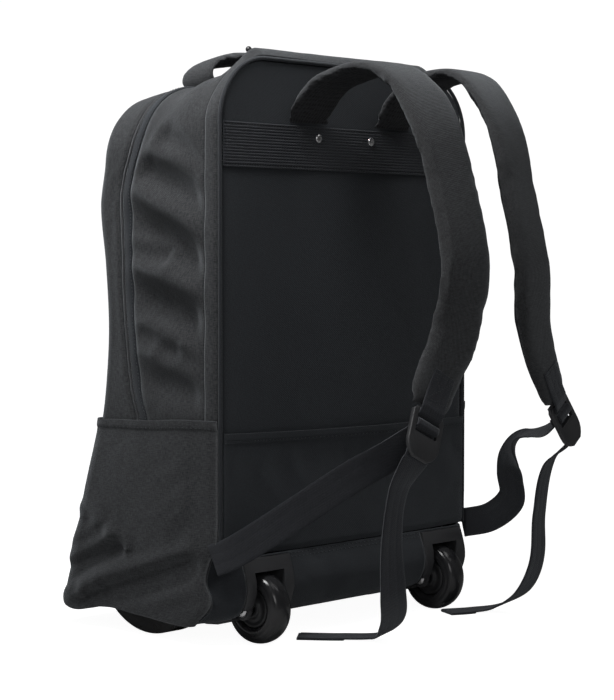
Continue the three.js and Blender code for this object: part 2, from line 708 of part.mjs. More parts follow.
function housing(side) {
  const x = (side * wheelTrack) / 2;
  const limits = block(
    [x - housingHalf, -4 * rearBulge, -groundGap],
    [x + housingHalf, housingReach, housingTop],
  );
  const outer = profileSolid(housingProud, bagHeight, x - housingHalf, x + housingHalf);
  const inner = profileSolid(-baseThickness, bagHeight, x - housingHalf - 1, x + housingHalf + 1);
  const flange = outer.subtract(inner).intersect(limits);
  const shell = rod(wellRadius + wellWall, 2 * cheekHalf, x, wheelAxleY, axleZ, 20)
    .intersect(outer)
    .intersect(limits);
  const lugs = rod(lugRadius, 2 * cheekHalf, x, wheelAxleY, axleZ, 16);
  const eyes = rod(axleHeadRadius + 2 * runningGap + 2, 2 * housingHalf + 2, x, wheelAxleY, axleZ, 16)
    .subtract(block(
      [x - cheekHalf, -4 * rearBulge, -groundGap],
      [x + cheekHalf, housingReach, housingTop],
    ));
  return flange
    .add(shell)
    .add(lugs)
    .subtract(eyes)
    .subtract(rod(wellRadius, 2 * slotHalf, x, wheelAxleY, axleZ, 20))
    .subtract(rod(axleRadius + runningGap, 2 * cheekHalf + 2, x, wheelAxleY, axleZ, 12));
}

for (const [name, side] of [['left', -1], ['right', 1]]) {
  addPiece(`wheel_housing_${name}`, fromManifold(housing(side)), 'plastic');

  // Axle: a pin through both cheeks with a head outside each of them
  const x = (side * wheelTrack) / 2;
  const headLength = 3;
  const headStart = cheekHalf + runningGap;
  const axle = rod(axleRadius, 2 * (headStart + headLength), 0, 0, 0, 12)
    .add(rod(axleHeadRadius, headLength, -headStart - headLength / 2, 0, 0, 12))
    .add(rod(axleHeadRadius, headLength, headStart + headLength / 2, 0, 0, 12));
  addPiece(`axle_${name}`, fromManifold(axle), 'metal').position.set(x, wheelAxleY, axleZ);

  // Wheel: a round glossy tyre on a hub that is recessed on both sides
  const tread = wheelWidth / 2;
  const profile = new THREE.Path();
  profile.moveTo(hubRadius, -tread + 2);
  profile.quadraticCurveTo(hubRadius + 3, -tread, wheelRadius - 9, -tread);
  profile.quadraticCurveTo(wheelRadius - 1, -tread, wheelRadius, 0);
  profile.quadraticCurveTo(wheelRadius - 1, tread, wheelRadius - 9, tread);
  profile.quadraticCurveTo(hubRadius + 3, tread, hubRadius, tread - 2);
  const outline = profile.getPoints(2);
  outline.push(outline[0].clone());
  const tyre = new THREE.LatheGeometry(outline, 26);
  tyre.rotateZ(Math.PI / 2);
  addPiece(`tyre_${name}`, closed(tyre), 'tyre').position.set(x, wheelAxleY, axleZ);

  const hubHalf = tread - hubRecess;
  const bearing = axleHeadRadius + 2;
  const hubOutline = [
    [axleRadius + runningGap, -tread],
    [bearing, -tread],
    [bearing, -hubHalf],
    [hubRadius - clearance, -hubHalf],
    [hubRadius - clearance, hubHalf],
    [bearing, hubHalf],
    [bearing, tread],
    [axleRadius + runningGap, tread],
    [axleRadius + runningGap, -tread],
  ].map(([radius, along]) => new THREE.Vector2(radius, along));
  const hub = new THREE.LatheGeometry(hubOutline, 16);
  hub.rotateZ(Math.PI / 2);
  addPiece(`hub_${name}`, closed(hub), 'plastic').position.set(x, wheelAxleY, axleZ);

  // Foot: an upright runner whose top is fitted to the underside of the base
  const footShape = new THREE.Shape();
  const rearAngle = Math.asin(footRearReach / footRadius);
  const frontAngle = Math.asin(footFrontReach / footRadius);
  footShape.absarc(0, footRadius, footRadius, -Math.PI / 2 - rearAngle, -Math.PI / 2 + frontAngle);
  for (const at of [0.67, 0.58, 0.51]) {
    footShape.lineTo(profileY(at) - footY, profileZ(at) - clearance);
  }
  const foot = new THREE.ExtrudeGeometry(footShape, {
    depth: footThickness,
    bevelEnabled: false,
    curveSegments: 14,
  });
  foot.rotateY(Math.PI / 2);
  foot.rotateX(Math.PI / 2);
  foot.translate(-footThickness / 2, 0, 0);
  addPiece(`foot_${name}`, closed(foot), 'plastic').position.set((side * footTrack) / 2, footY, 0);
}

// Straps: a course through rows of places, each with the direction of its width
function courseAt(rows, at) {
  const placeAt = (share) => new THREE.Vector3(
    valueAt(rows, 'at', 'x', share),
    valueAt(rows, 'at', 'y', share),
    valueAt(rows, 'at', 'z', share),
  );
  const step = 0.003;
  const low = THREE.MathUtils.clamp(at - step, 0, 1 - 2 * step);
  const centre = placeAt(at);
  const along = placeAt(low + 2 * step).sub(placeAt(low)).normalize();
  const across = new THREE.Vector3(
    valueAt(rows, 'at', 'turnX', at),
    valueAt(rows, 'at', 'turnY', at),
    valueAt(rows, 'at', 'turnZ', at),
  );
  across.addScaledVector(along, -across.dot(along)).normalize();
  const out = along.clone().cross(across).normalize();
  return { centre, along, across, out };
}

// A strap along a course: sizeAt gives its width and thickness, and rise how far it lies over it.
function ribbon({ rows, from = 0, to = 1, steps, acrossSteps = 1, sizeAt, rise = 0, roundEdges = false }) {
  return bentBox(acrossSteps, steps, 1, (u, v, w) => {
    const at = THREE.MathUtils.lerp(from, to, v);
    const { centre, across, out } = courseAt(rows, at);
    const { width, thickness } = sizeAt(at);
    const sideways = roundEdges ? Math.sin((u - 0.5) * Math.PI) / 2 : u - 0.5;
    const edge = roundEdges ? Math.max(Math.sqrt(1 - Math.abs(2 * sideways) ** 4), 0.3) : 1;
    return centre
      .addScaledVector(across, sideways * width)
      .addScaledVector(out, rise + (w - 0.5) * thickness * edge);
  });
}

function strapCourse(side) {
  return strapRows.map((row) => ({
    at: row.at,
    x: side * row.side * halfWidth,
    y: -row.back * strapReach,
    z: row.height * bagHeight,
    turnX: 1,
    turnY: side * row.splay,
    turnZ: side * row.droop,
    width: row.width * strapWidth,
    pad: row.pad * strapPad,
  }));
}

// A webbing starts flat against the buckle's inner face, a number of layers under it, and then
// follows its rows.
function webbingCourse(side, rows, buckle, layers) {
  const under = buckleThickness / 2 + layers * clearance + (layers - 0.5) * webbingThickness;
  const seated = [0, 0.5, 0.97, 1].map((share) => {
    const down = THREE.MathUtils.lerp(-buckleLength / 4, buckleLength * seatReach[layers], share);
    const place = buckle.centre.clone()
      .addScaledVector(buckle.along, down)
      .addScaledVector(buckle.out, -under);
    return {
      at: share * rows[0].at * 0.5,
      x: place.x,
      y: place.y,
      z: place.z,
      turnX: buckle.across.x,
      turnY: buckle.across.y,
      turnZ: buckle.across.z,
    };
  });
  return seated.concat(rows.map((row) => ({
    at: row.at,
    x: side * row.side * halfWidth,
    y: -row.back * strapReach,
    z: row.height * bagHeight,
    turnX: row.turnX,
    turnY: row.turnY,
    turnZ: row.turnZ,
  })));
}

// Ladder lock: a frame with two slots and a thumb tab at its lower end
function ladderLock() {
  const halfW = buckleWidth / 2;
  const halfL = buckleLength / 2;
  const slot = halfW - buckleBar;
  const outline = new THREE.Shape();
  outline.moveTo(-halfW, -halfL + 3);
  outline.lineTo(-halfW, halfL * 0.35);
  outline.quadraticCurveTo(-halfW, halfL * 0.75, -halfW * 0.45, halfL);
  outline.lineTo(halfW * 0.45, halfL);
  outline.quadraticCurveTo(halfW, halfL * 0.75, halfW, halfL * 0.35);
  outline.lineTo(halfW, -halfL + 3);
  outline.lineTo(halfW - 3, -halfL);
  outline.lineTo(-halfW + 3, -halfL);
  const geometry = new THREE.ExtrudeGeometry(outline, {
    depth: buckleThickness,
    bevelEnabled: false,
    curveSegments: 4,
  });
  geometry.translate(0, 0, -buckleThickness / 2);
  let frame = toManifold(closed(geometry));
  for (const top of [-halfL + buckleBar, -halfL + 2 * buckleBar + buckleSlot]) {
    frame = frame.subtract(block(
      [-slot, top, -buckleThickness],
      [slot, top + buckleSlot, buckleThickness],
    ));
  }
  return fromManifold(frame);
}

// What lies in front of the back's side seams, where the lower webbing is sewn in
const seamRear = block(
  [-bagWidth, -pipingForward, baseSeam - pipingRadius],
  [bagWidth, bottomDepth, sidePocketTop],
);
const bagCorner = toManifold(bentBox(1, 12, 1, (u, v, w) => {
  const z = THREE.MathUtils.lerp(-groundGap, sidePocketTop, v);
  return new THREE.Vector3(
    THREE.MathUtils.lerp(-bagWidth, bagWidth, u),
    THREE.MathUtils.lerp(pullAt(z) - pipingForward, bottomDepth, w),
    z,
  );
}));

for (const [name, side] of [['left', -1], ['right', 1]]) {
  const course = strapCourse(side);
  const widthAt = (at) => valueAt(course, 'at', 'width', at);
  const padAt = (at) => valueAt(course, 'at', 'pad', at);
  addPiece(`shoulder_strap_${name}`, ribbon({
    rows: course,
    to: strapEnd,
    steps: 22,
    acrossSteps: 4,
    roundEdges: true,
    sizeAt: (at) => ({ width: widthAt(at), thickness: padAt(at) }),
  }), 'melange');

  const buckle = courseAt(course, 1);
  const lock = addPiece(`ladder_lock_${name}`, ladderLock(), 'plastic');
  const basis = new THREE.Matrix4().makeBasis(
    buckle.across,
    buckle.along,
    buckle.across.clone().cross(buckle.along),
  );
  lock.quaternion.setFromRotationMatrix(basis);
  lock.position.copy(buckle.centre);

  // Webbing sewn to the strap's end, down to the buckle's first bar
  const patchTo = 1 - (buckleLength / 2 - buckleBar) / strapLength;
  const patchFrom = patchTo - patchLength / strapLength;
  addPiece(`strap_patch_${name}`, bentBox(1, 7, 1, (u, v, w) => {
    const at = THREE.MathUtils.lerp(patchFrom, patchTo, v);
    const { centre, across, out } = courseAt(course, at);
    const over = at < strapEnd ? padAt(at) / 2 : THREE.MathUtils.lerp(
      padAt(strapEnd) / 2,
      buckleThickness / 2,
      (at - strapEnd) / (patchTo - strapEnd),
    );
    return centre
      .addScaledVector(across, (u - 0.5) * webbingWidth * 0.9)
      .addScaledVector(out, over + 2 * clearance + w * webbingThickness);
  }), 'webbing');

  const webbing = toManifold(ribbon({
    rows: webbingCourse(side, webbingRows[name], buckle, 2),
    steps: 22,
    sizeAt: () => ({ width: webbingWidth, thickness: webbingThickness }),
  }));
  addPiece(`lower_webbing_${name}`, fromManifold(webbing.subtract(bagCorner).subtract(seamRear)), 'webbing');

  addPiece(`strap_tail_${name}`, ribbon({
    rows: webbingCourse(side, tailRows[name], buckle, 1),
    steps: 26,
    sizeAt: (at) => ({
      width: tailWidth,
      thickness: at > 1 - tailEndLength / tailLength ? tailEndLayers * webbingThickness : webbingThickness,
    }),
  }), 'webbing');
}

// Grab handle: a padded arch on the sloping top
const handleBase = bagHeight - fallAt(handleY);
const handleSlope = (fallAt(handleY + handleWidth / 2) - fallAt(handleY - handleWidth / 2)) / handleWidth;
const handleRows = [
  { at: 0.0, x: -0.5, z: 0.12 },
  { at: 0.1, x: -0.525, z: 0.4 },
  { at: 0.2, x: -0.45, z: 0.7 },
  { at: 0.35, x: -0.27, z: 0.92 },
  { at: 0.5, x: 0.0, z: 1.0 },
  { at: 0.65, x: 0.27, z: 0.92 },
  { at: 0.8, x: 0.45, z: 0.7 },
  { at: 0.9, x: 0.525, z: 0.4 },
  { at: 1.0, x: 0.5, z: 0.12 },
].map((row) => ({
  at: row.at,
  x: row.x * handleSpan,
  y: handleY,
  z: handleBase + row.z * handleRise,
  turnX: 0,
  turnY: 1,
  turnZ: -handleSlope,
}));
addPiece('grab_handle', ribbon({
  rows: handleRows,
  steps: 14,
  acrossSteps: 4,
  roundEdges: true,
  sizeAt: () => ({ width: handleWidth, thickness: handleThickness }),
}), 'melange');

// The middle of the underside of the whole model is the origin.
bag.updateMatrixWorld(true);
const box = new THREE.Box3().setFromObject(bag);
const middle = box.getCenter(new THREE.Vector3());
bag.position.set(-middle.x, -middle.y, -box.min.z);

export default bag;
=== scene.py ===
"""A wheeled backpack in grey melange cloth, standing on its wheels and feet, seen from behind."""

import bisect
import functools
import math

import bmesh
import bpy
from mathutils import Matrix, Vector, noise
from mathutils.kdtree import KDTree


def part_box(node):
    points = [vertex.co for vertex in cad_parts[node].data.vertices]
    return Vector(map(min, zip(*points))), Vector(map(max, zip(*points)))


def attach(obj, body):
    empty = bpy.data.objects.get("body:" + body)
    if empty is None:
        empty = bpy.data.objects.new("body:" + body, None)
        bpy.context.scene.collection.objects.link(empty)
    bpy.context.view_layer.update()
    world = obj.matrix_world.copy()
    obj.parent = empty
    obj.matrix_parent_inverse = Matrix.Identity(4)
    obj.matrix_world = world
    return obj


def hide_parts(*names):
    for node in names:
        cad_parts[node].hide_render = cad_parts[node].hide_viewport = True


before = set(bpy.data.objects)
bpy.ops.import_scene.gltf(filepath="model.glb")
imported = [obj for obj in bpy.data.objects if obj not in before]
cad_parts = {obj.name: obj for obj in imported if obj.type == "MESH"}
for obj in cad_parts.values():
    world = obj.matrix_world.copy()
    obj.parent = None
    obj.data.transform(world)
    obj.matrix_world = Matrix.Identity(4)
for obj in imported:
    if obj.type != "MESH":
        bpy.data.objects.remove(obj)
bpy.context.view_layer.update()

# The studio: a pale floor and a soft white room, with a camera low behind the bag's left corner.
# Places are in millimetres from the middle of the back panel's outer face, at the ground: x to
# the right seen from behind, y forward into the bag and z up. spot() turns them into metres.
piping_low, piping_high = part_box("back_piping")
BACK_Y = (piping_low.y + piping_high.y) / 2


def spot(x, y, z):
    return Vector((x / 1000, BACK_Y + y / 1000, z / 1000))


FRAME_HEIGHT = 700
FOCUS_IN_PIXELS = 2032.9
SENSOR = 36.0
camera_data = bpy.data.cameras.new("camera")
camera_data.sensor_width = SENSOR
camera_data.lens = SENSOR * FOCUS_IN_PIXELS / FRAME_HEIGHT
camera = bpy.data.objects.new("camera", camera_data)
bpy.context.scene.collection.objects.link(camera)
camera.location = spot(-1362.6, -1197.2, 328.3)
yaw, pitch = math.radians(47.5), math.radians(-2.57)
look = Vector((math.sin(yaw) * math.cos(pitch), math.cos(yaw) * math.cos(pitch), math.sin(pitch)))
camera.rotation_mode = "QUATERNION"
camera.rotation_quaternion = look.to_track_quat("-Z", "Y")
bpy.context.scene.camera = camera
bpy.context.scene.view_settings.view_transform = "Standard"

world = bpy.data.worlds.new("room")
bpy.context.scene.world = world
world.use_nodes = True
room = world.node_tree
seen = room.nodes.new("ShaderNodeLightPath")
strength = room.nodes.new("ShaderNodeMapRange")
strength.inputs["To Min"].default_value = 0.085
strength.inputs["To Max"].default_value = 1.05
room.links.new(seen.outputs["Is Camera Ray"], strength.inputs["Value"])
room.links.new(strength.outputs["Result"], room.nodes["Background"].inputs["Strength"])
room.nodes["Background"].inputs["Color"].default_value = (1.0, 1.0, 1.0, 1.0)


def softbox(name, place, aim, size, power):
    """A rectangular area lamp at a place in metres, turned towards its aim."""
    lamp = bpy.data.lights.new(name, "AREA")
    lamp.shape = "RECTANGLE"
    lamp.size, lamp.size_y = size
    lamp.energy = power
    light = bpy.data.objects.new(name, lamp)
    bpy.context.scene.collection.objects.link(light)
    light.location = place
    light.rotation_mode = "QUATERNION"
    light.rotation_quaternion = (Vector(aim) - Vector(place)).to_track_quat("-Z", "Y")


softbox("key", (-0.42, -0.02, 0.90), (-0.14, 0.07, 0.30), (0.35, 0.35), 6)
softbox("fill", (-1.5, -1.9, 1.1), (0, 0, 0.3), (0.9, 0.9), 6.5)
softbox("top", (0.5, -0.9, 1.9), (0, -0.1, 0.4), (1.0, 1.0), 5.5)

# The floor is lit by the softboxes and glows a little to the camera, so that it shows as white
# as the room with the bag's soft shadows on it.
floor_mesh = bmesh.new()
bmesh.ops.create_grid(floor_mesh, x_segments=1, y_segments=1, size=6)
floor_data = bpy.data.meshes.new("floor")
floor_mesh.to_mesh(floor_data)
floor_mesh.free()
floor = bpy.data.objects.new("floor", floor_data)
bpy.context.scene.collection.objects.link(floor)
floor_paint = bpy.data.materials.new("floor")
floor_paint.use_nodes = True
tree = floor_paint.node_tree
paint = tree.nodes["Principled BSDF"]
paint.inputs["Base Color"].default_value = (0.45, 0.45, 0.45, 1)
paint.inputs["Roughness"].default_value = 0.9
paint.inputs["Specular IOR Level"].default_value = 0.1
paint.inputs["Emission Color"].default_value = (1, 1, 1, 1)
from_middle = tree.nodes.new("ShaderNodeTexCoord")
distance = tree.nodes.new("ShaderNodeVectorMath")
distance.operation = "LENGTH"
glow = tree.nodes.new("ShaderNodeMapRange")
glow.inputs["From Min"].default_value = 0.25
glow.inputs["From Max"].default_value = 1.0
glow.inputs["To Min"].default_value = 0.96
glow.inputs["To Max"].default_value = 1.05
seen = tree.nodes.new("ShaderNodeLightPath")
shown = tree.nodes.new("ShaderNodeMath")
shown.operation = "MULTIPLY"
tree.links.new(from_middle.outputs["Object"], distance.inputs[0])
tree.links.new(distance.outputs["Value"], glow.inputs["Value"])
tree.links.new(glow.outputs["Result"], shown.inputs[0])
tree.links.new(seen.outputs["Is Camera Ray"], shown.inputs[1])
tree.links.new(shown.outputs[0], paint.inputs["Emission Strength"])
floor_data.materials.append(floor_paint)

# Melange cloth, the main cloth of the bag: a plain weave of light and dark grey yarns, matt, with
# fine streaks along the yarns. The woven group makes every cloth of the bag, each with its own
# yarns, and reads the piece's own cloth map, which is in metres along and across the weave.


def group_socket(group, name, kind, default=None, output=False):
    socket = group.interface.new_socket(
        name=name, in_out="OUTPUT" if output else "INPUT", socket_type="NodeSocket" + kind
    )
    if default is not None:
        socket.default_value = default


def maths(tree, operation, *values):
    """A Math node, whose inputs are sockets or numbers."""
    node = tree.nodes.new("ShaderNodeMath")
    node.operation = operation
    for socket, value in zip(node.inputs, values):
        if isinstance(value, (int, float)):
            socket.default_value = value
        else:
            tree.links.new(value, socket)
    return node.outputs[0]


def stretched_noise(tree, vector, scale, detail=2.0):
    """Noise whose vector is first scaled by three numbers or sockets."""
    combine = tree.nodes.new("ShaderNodeCombineXYZ")
    split = tree.nodes.new("ShaderNodeSeparateXYZ")
    tree.links.new(vector, split.inputs[0])
    for i, by in enumerate(scale):
        tree.links.new(maths(tree, "MULTIPLY", split.outputs[i], by), combine.inputs[i])
    texture = tree.nodes.new("ShaderNodeTexNoise")
    texture.inputs["Scale"].default_value = 1.0
    texture.inputs["Detail"].default_value = detail
    tree.links.new(combine.outputs[0], texture.inputs["Vector"])
    return texture.outputs["Fac"]


def mixed(tree, factor, a, b):
    mix = tree.nodes.new("ShaderNodeMix")
    mix.data_type = "RGBA"
    tree.links.new(factor, mix.inputs["Factor"])
    for name, value in (("A", a), ("B", b)):
        socket = next(s for s in mix.inputs if s.name == name and s.type == "RGBA")
        if isinstance(value, tuple):
            socket.default_value = value
        else:
            tree.links.new(value, socket)
    return next(s for s in mix.outputs if s.type == "RGBA")


def make_woven_group():
    group = bpy.data.node_groups.new("woven", "ShaderNodeTree")
    group_socket(group, "Vector", "Vector")
    group_socket(group, "Dark yarn", "Color", (0.02, 0.02, 0.022, 1))
    group_socket(group, "Light yarn", "Color", (0.07, 0.07, 0.075, 1))
    group_socket(group, "Yarns per metre", "Float", 1500.0)
    group_socket(group, "Streaks", "Float", 0.5)
    group_socket(group, "Depth", "Float", 0.5)
    group_socket(group, "Color", "Color", output=True)
    group_socket(group, "Roughness", "Float", output=True)
    group_socket(group, "Normal", "Vector", output=True)
    inside = group.nodes.new("NodeGroupInput")
    outside = group.nodes.new("NodeGroupOutput")
    vector = inside.outputs["Vector"]
    pitch_of_yarns = inside.outputs["Yarns per metre"]
    split = group.nodes.new("ShaderNodeSeparateXYZ")
    group.links.new(vector, split.inputs[0])
    turns = maths(group, "MULTIPLY", pitch_of_yarns, math.pi)
    warp = maths(group, "SINE", maths(group, "MULTIPLY", split.outputs[0], turns))
    weft = maths(group, "SINE", maths(group, "MULTIPLY", split.outputs[1], turns))
    depth_axis = maths(group, "SINE", maths(group, "MULTIPLY", split.outputs[2], turns))
    weave = maths(group, "MULTIPLY", maths(group, "ADD", warp, depth_axis), weft)
    fine = stretched_noise(group, vector, (1500.0, 240.0, 700.0))
    coarse = stretched_noise(group, vector, (180.0, 1150.0, 500.0))
    cloud = stretched_noise(group, vector, (26.0, 18.0, 22.0), 4.0)
    streak = maths(group, "MULTIPLY_ADD", coarse, 0.5, maths(group, "MULTIPLY", fine, 0.5))
    spread = maths(group, "MULTIPLY", maths(group, "SUBTRACT", streak, 0.5), inside.outputs["Streaks"])
    patch = maths(group, "MULTIPLY_ADD", cloud, 0.45, 0.275)
    share = maths(group, "MULTIPLY_ADD", spread, 5.0, maths(group, "MULTIPLY_ADD", weave, 0.09, patch))
    clamp = group.nodes.new("ShaderNodeClamp")
    group.links.new(share, clamp.inputs["Value"])
    colour = mixed(group, clamp.outputs[0], inside.outputs["Dark yarn"], inside.outputs["Light yarn"])
    group.links.new(colour, outside.inputs["Color"])
    group.links.new(maths(group, "MULTIPLY_ADD", streak, 0.12, 0.82), outside.inputs["Roughness"])
    bump = group.nodes.new("ShaderNodeBump")
    bump.inputs["Distance"].default_value = 0.0004
    group.links.new(inside.outputs["Depth"], bump.inputs["Strength"])
    height = maths(group, "MULTIPLY_ADD", weave, 0.35, streak)
    group.links.new(height, bump.inputs["Height"])
    group.links.new(bump.outputs[0], outside.inputs["Normal"])
    return group


WOVEN = make_woven_group()


def cloth(name, dark, light, yarns=1500.0, streaks=0.5, depth=0.5, mapped=True, sheen=0.25):
    """A woven material of two yarn colours. It reads the piece's cloth map, or Object coordinates."""
    material = bpy.data.materials.new(name)
    material.use_nodes = True
    tree = material.node_tree
    shader = tree.nodes["Principled BSDF"]
    woven = tree.nodes.new("ShaderNodeGroup")
    woven.node_tree = WOVEN
    woven.inputs["Dark yarn"].default_value = (*dark, 1)
    woven.inputs["Light yarn"].default_value = (*light, 1)
    woven.inputs["Yarns per metre"].default_value = yarns
    woven.inputs["Streaks"].default_value = streaks
    woven.inputs["Depth"].default_value = depth
    if mapped:
        source = tree.nodes.new("ShaderNodeUVMap")
        source.uv_map = "cloth"
        tree.links.new(source.outputs["UV"], woven.inputs["Vector"])
    else:
        source = tree.nodes.new("ShaderNodeTexCoord")
        tree.links.new(source.outputs["Object"], woven.inputs["Vector"])
    for output, socket in (("Color", "Base Color"), ("Roughness", "Roughness"), ("Normal", "Normal")):
        tree.links.new(woven.outputs[output], shader.inputs[socket])
    shader.inputs["Specular IOR Level"].default_value = 0.25
    shader.inputs["Sheen Weight"].default_value = sheen
    shader.inputs["Sheen Roughness"].default_value = 0.5
    shader.inputs["Sheen Tint"].default_value = (0.8, 0.85, 0.9, 1)
    return material


MELANGE = cloth("melange_cloth", (0.008, 0.0085, 0.0095), (0.041, 0.0420, 0.0445), streaks=0.8)
PANEL = cloth("panel_cloth", (0.009, 0.0105, 0.0130), (0.024, 0.0270, 0.0320), yarns=1300.0, streaks=0.35)


def keep(bm, name, materials, body="bag", stands_for=(), smooth=True):
    """Makes a piece of a bmesh, smooth and of these materials, that rides on a body."""
    data = bpy.data.meshes.new(name)
    bm.to_mesh(data)
    bm.free()
    for material in materials:
        data.materials.append(material)
    if smooth:
        data.shade_smooth()
    piece = bpy.data.objects.new(name, data)
    bpy.context.scene.collection.objects.link(piece)
    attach(piece, body)
    if stands_for:
        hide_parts(*stands_for)
    return piece


def laid(columns, rows, place, size, inside=None):
    """A sheet of columns x rows cells as a bmesh. place(u, v) gives the point for each share of
    its length and breadth, size is its length and breadth in metres for the cloth map, and its
    faces point away from a point inside."""
    bm = bmesh.new()
    chart = bm.loops.layers.uv.new("cloth")
    bmesh.ops.create_grid(bm, x_segments=columns, y_segments=rows, size=0.5, calc_uvs=True)
    for face in bm.faces:
        for loop in face.loops:
            u, v = loop.vert.co.x + 0.5, loop.vert.co.y + 0.5
            loop[chart].uv = (u * size[0], v * size[1])
    for vert in bm.verts:
        vert.co = place(vert.co.x + 0.5, vert.co.y + 0.5)
    bm.normal_update()
    if inside is not None:
        facing = sum((f.calc_center_median() - inside).dot(f.normal) for f in bm.faces)
        if facing < 0:
            bmesh.ops.reverse_faces(bm, faces=bm.faces)
    return bm


def thicken(piece, thickness, rounding=0.0):
    """Gives a sheet its thickness in metres on the inner side, and rounds its edges."""
    wall = piece.modifiers.new("wall", "SOLIDIFY")
    wall.thickness = thickness
    wall.offset = -1
    wall.use_even_offset = True
    if rounding:
        edge = piece.modifiers.new("edge", "BEVEL")
        edge.width = rounding
        edge.segments = 2
        edge.limit_method = "ANGLE"
        edge.angle_limit = math.radians(50)
        edge.harden_normals = False


# Sides and top: a skin of melange cloth that runs up one side, over the top and down the other,
# sewn between the back's piping and the front. It is full between its seams, and slack folds
# slant across it. The zip divides it. Depth, fall, zip and pull are read against these tables.
WIDTH, HEIGHT, CORNER, FRONT_ROUND = 330.0, 508.0, 57.0, 16.0
GROUND_GAP = 18.0
ARCH_BASE = HEIGHT - CORNER
CLOTH = 1.6
DEPTHS = [
    (17.8, 206.0), (45.7, 197.6), (76.2, 187.4), (139.7, 168.8), (195.6, 154.4), (238.8, 148.4),
    (284.5, 146.0), (345.4, 149.6), (406.4, 155.6), (447.0, 149.6), (508.0, 146.0),
]
FALLS = [(0.0, 8.0), (12.4, 8.0), (40.9, 10.9), (78.1, 26.0), (127.0, 34.4), (146.0, 42.0)]
CREST = [(0.0, 0.0), (12.4, 8.0), (40.9, 0.4), (58.4, 0.0)]
ZIP_SHARES = [
    (193.0, 0.59), (223.5, 0.67), (294.6, 0.75), (381.0, 0.74), (431.8, 0.725), (467.4, 0.67),
    (508.0, 0.645),
]
PULLS = [(17.8, 28.0), (35.1, 8.4), (57.9, 14.0), (88.9, 1.4), (106.7, 0.0)]


@functools.lru_cache(maxsize=None)
def slopes_of(rows):
    """The places of a table's rows, and its slope at each."""
    last = len(rows) - 1
    ends = [(rows[max(n - 1, 0)], rows[min(n + 1, last)]) for n in range(last + 1)]
    slopes = [(after[1] - before[1]) / (after[0] - before[0]) for before, after in ends]
    return [row[0] for row in rows], slopes


def through(rows, place):
    """The value of a table of (place, value) rows, as a smooth curve through them."""
    places, slopes = slopes_of(tuple(rows))
    if place <= places[0]:
        return rows[0][1]
    if place >= places[-1]:
        return rows[-1][1]
    i = bisect.bisect_right(places, place) - 1
    step = places[i + 1] - places[i]
    t = (place - places[i]) / step
    rise = rows[i + 1][1] - rows[i][1]
    curve = step * (slopes[i] * t * (1 - t) ** 2 - slopes[i + 1] * t * t * (1 - t))
    return rows[i][1] + rise * t * t * (3 - 2 * t) + curve


@functools.lru_cache(maxsize=None)
def depth_at(height):
    return through(DEPTHS, height)


@functools.lru_cache(maxsize=None)
def pull_at(height):
    return through(PULLS, height)


@functools.lru_cache(maxsize=None)
def zip_at(height):
    return depth_at(height) * through(ZIP_SHARES, height)


@functools.lru_cache(maxsize=None)
def fall_at(y):
    return through(FALLS, y)


@functools.lru_cache(maxsize=None)
def crest_at(y):
    return through(CREST, y)


TOP_FLAT = WIDTH / 2 - CORNER
TURN_LENGTH = CORNER * math.pi / 2
SKIN_BOTTOM = 28.5
HALF_ARCH = TOP_FLAT + TURN_LENGTH + ARCH_BASE - SKIN_BOTTOM


@functools.lru_cache(maxsize=None)
def station(along):
    """The outline at a way along it in mm, 0 in the middle of the top: height, share, nx, nz, x."""
    side = 1 if along > 0 else -1
    way = abs(along)
    if way <= TOP_FLAT:
        return HEIGHT, 1.0, 0.0, 1.0, along
    if way <= TOP_FLAT + TURN_LENGTH:
        angle = (TOP_FLAT + TURN_LENGTH - way) / CORNER
        x = side * (TOP_FLAT + CORNER * math.cos(angle))
        return ARCH_BASE + CORNER * math.sin(angle), 1.0, side * math.cos(angle), math.sin(angle), x
    height = ARCH_BASE - (way - TOP_FLAT - TURN_LENGTH)
    return height, (height - GROUND_GAP) / (ARCH_BASE - GROUND_GAP), side, 0.0, side * WIDTH / 2


CORNER_PINCH = 5.0
TOP_SAG = 12.0


def smoothstep(value, low, high):
    t = min(max((value - low) / (high - low), 0), 1)
    return t * t * (3 - 2 * t)


def top_sag(x, y):
    """How far the empty bag's top sags behind its crest, near each corner."""
    sideways = math.exp(-(((abs(x) - 115) / 40) ** 2))
    return TOP_SAG * sideways * smoothstep(y, 12, 32) * (1 - smoothstep(y, 58, 92))


def on_skin(where, forward, out):
    """A point of the skin: forward along the cloth from the back, round the front edge, and out."""
    height, share, nx, nz, x = where
    flat = depth_at(height) - FRONT_ROUND
    turn = min(max((forward - flat) / FRONT_ROUND, 0), math.pi / 2)
    y = min(forward, flat) + (FRONT_ROUND + out) * math.sin(turn)
    offset = (FRONT_ROUND + out) * math.cos(turn) - FRONT_ROUND if turn > 0 else out
    back = min(y, flat)
    z = height - fall_at(back) * max(share, 0) ** 2 + crest_at(back) * max(nz, 0) ** 24
    if height > ARCH_BASE - 40:
        z -= top_sag(x, back) * smoothstep(height, ARCH_BASE - 40, ARCH_BASE)
    pinch = CORNER_PINCH * (2 * abs(nx) * nz) ** 1.5 * math.exp(-(((y - 13) / 14) ** 2))
    return spot(x + nx * (offset - pinch), y, z + nz * (offset - pinch))


# Each fold: from and to in (y, z), width, depth. The cloth stands up along a fold's upper side.
SIDE_FOLDS = [
    ((84, 428), (16, 377), 12, 4.4), ((104, 388), (21, 328), 14, 5.6), ((99, 315), (12, 273), 14, 5.2),
    ((92, 236), (14, 211), 12, 3.0), ((62, 454), (24, 412), 9, 2.2), ((101, 352), (66, 340), 8, 2.6),
    ((88, 272), (50, 256), 8, 1.8), ((60, 252), (20, 238), 8, 1.4), ((124, 424), (136, 366), 7, 2.6),
    ((132, 330), (128, 270), 7, 1.6),
]


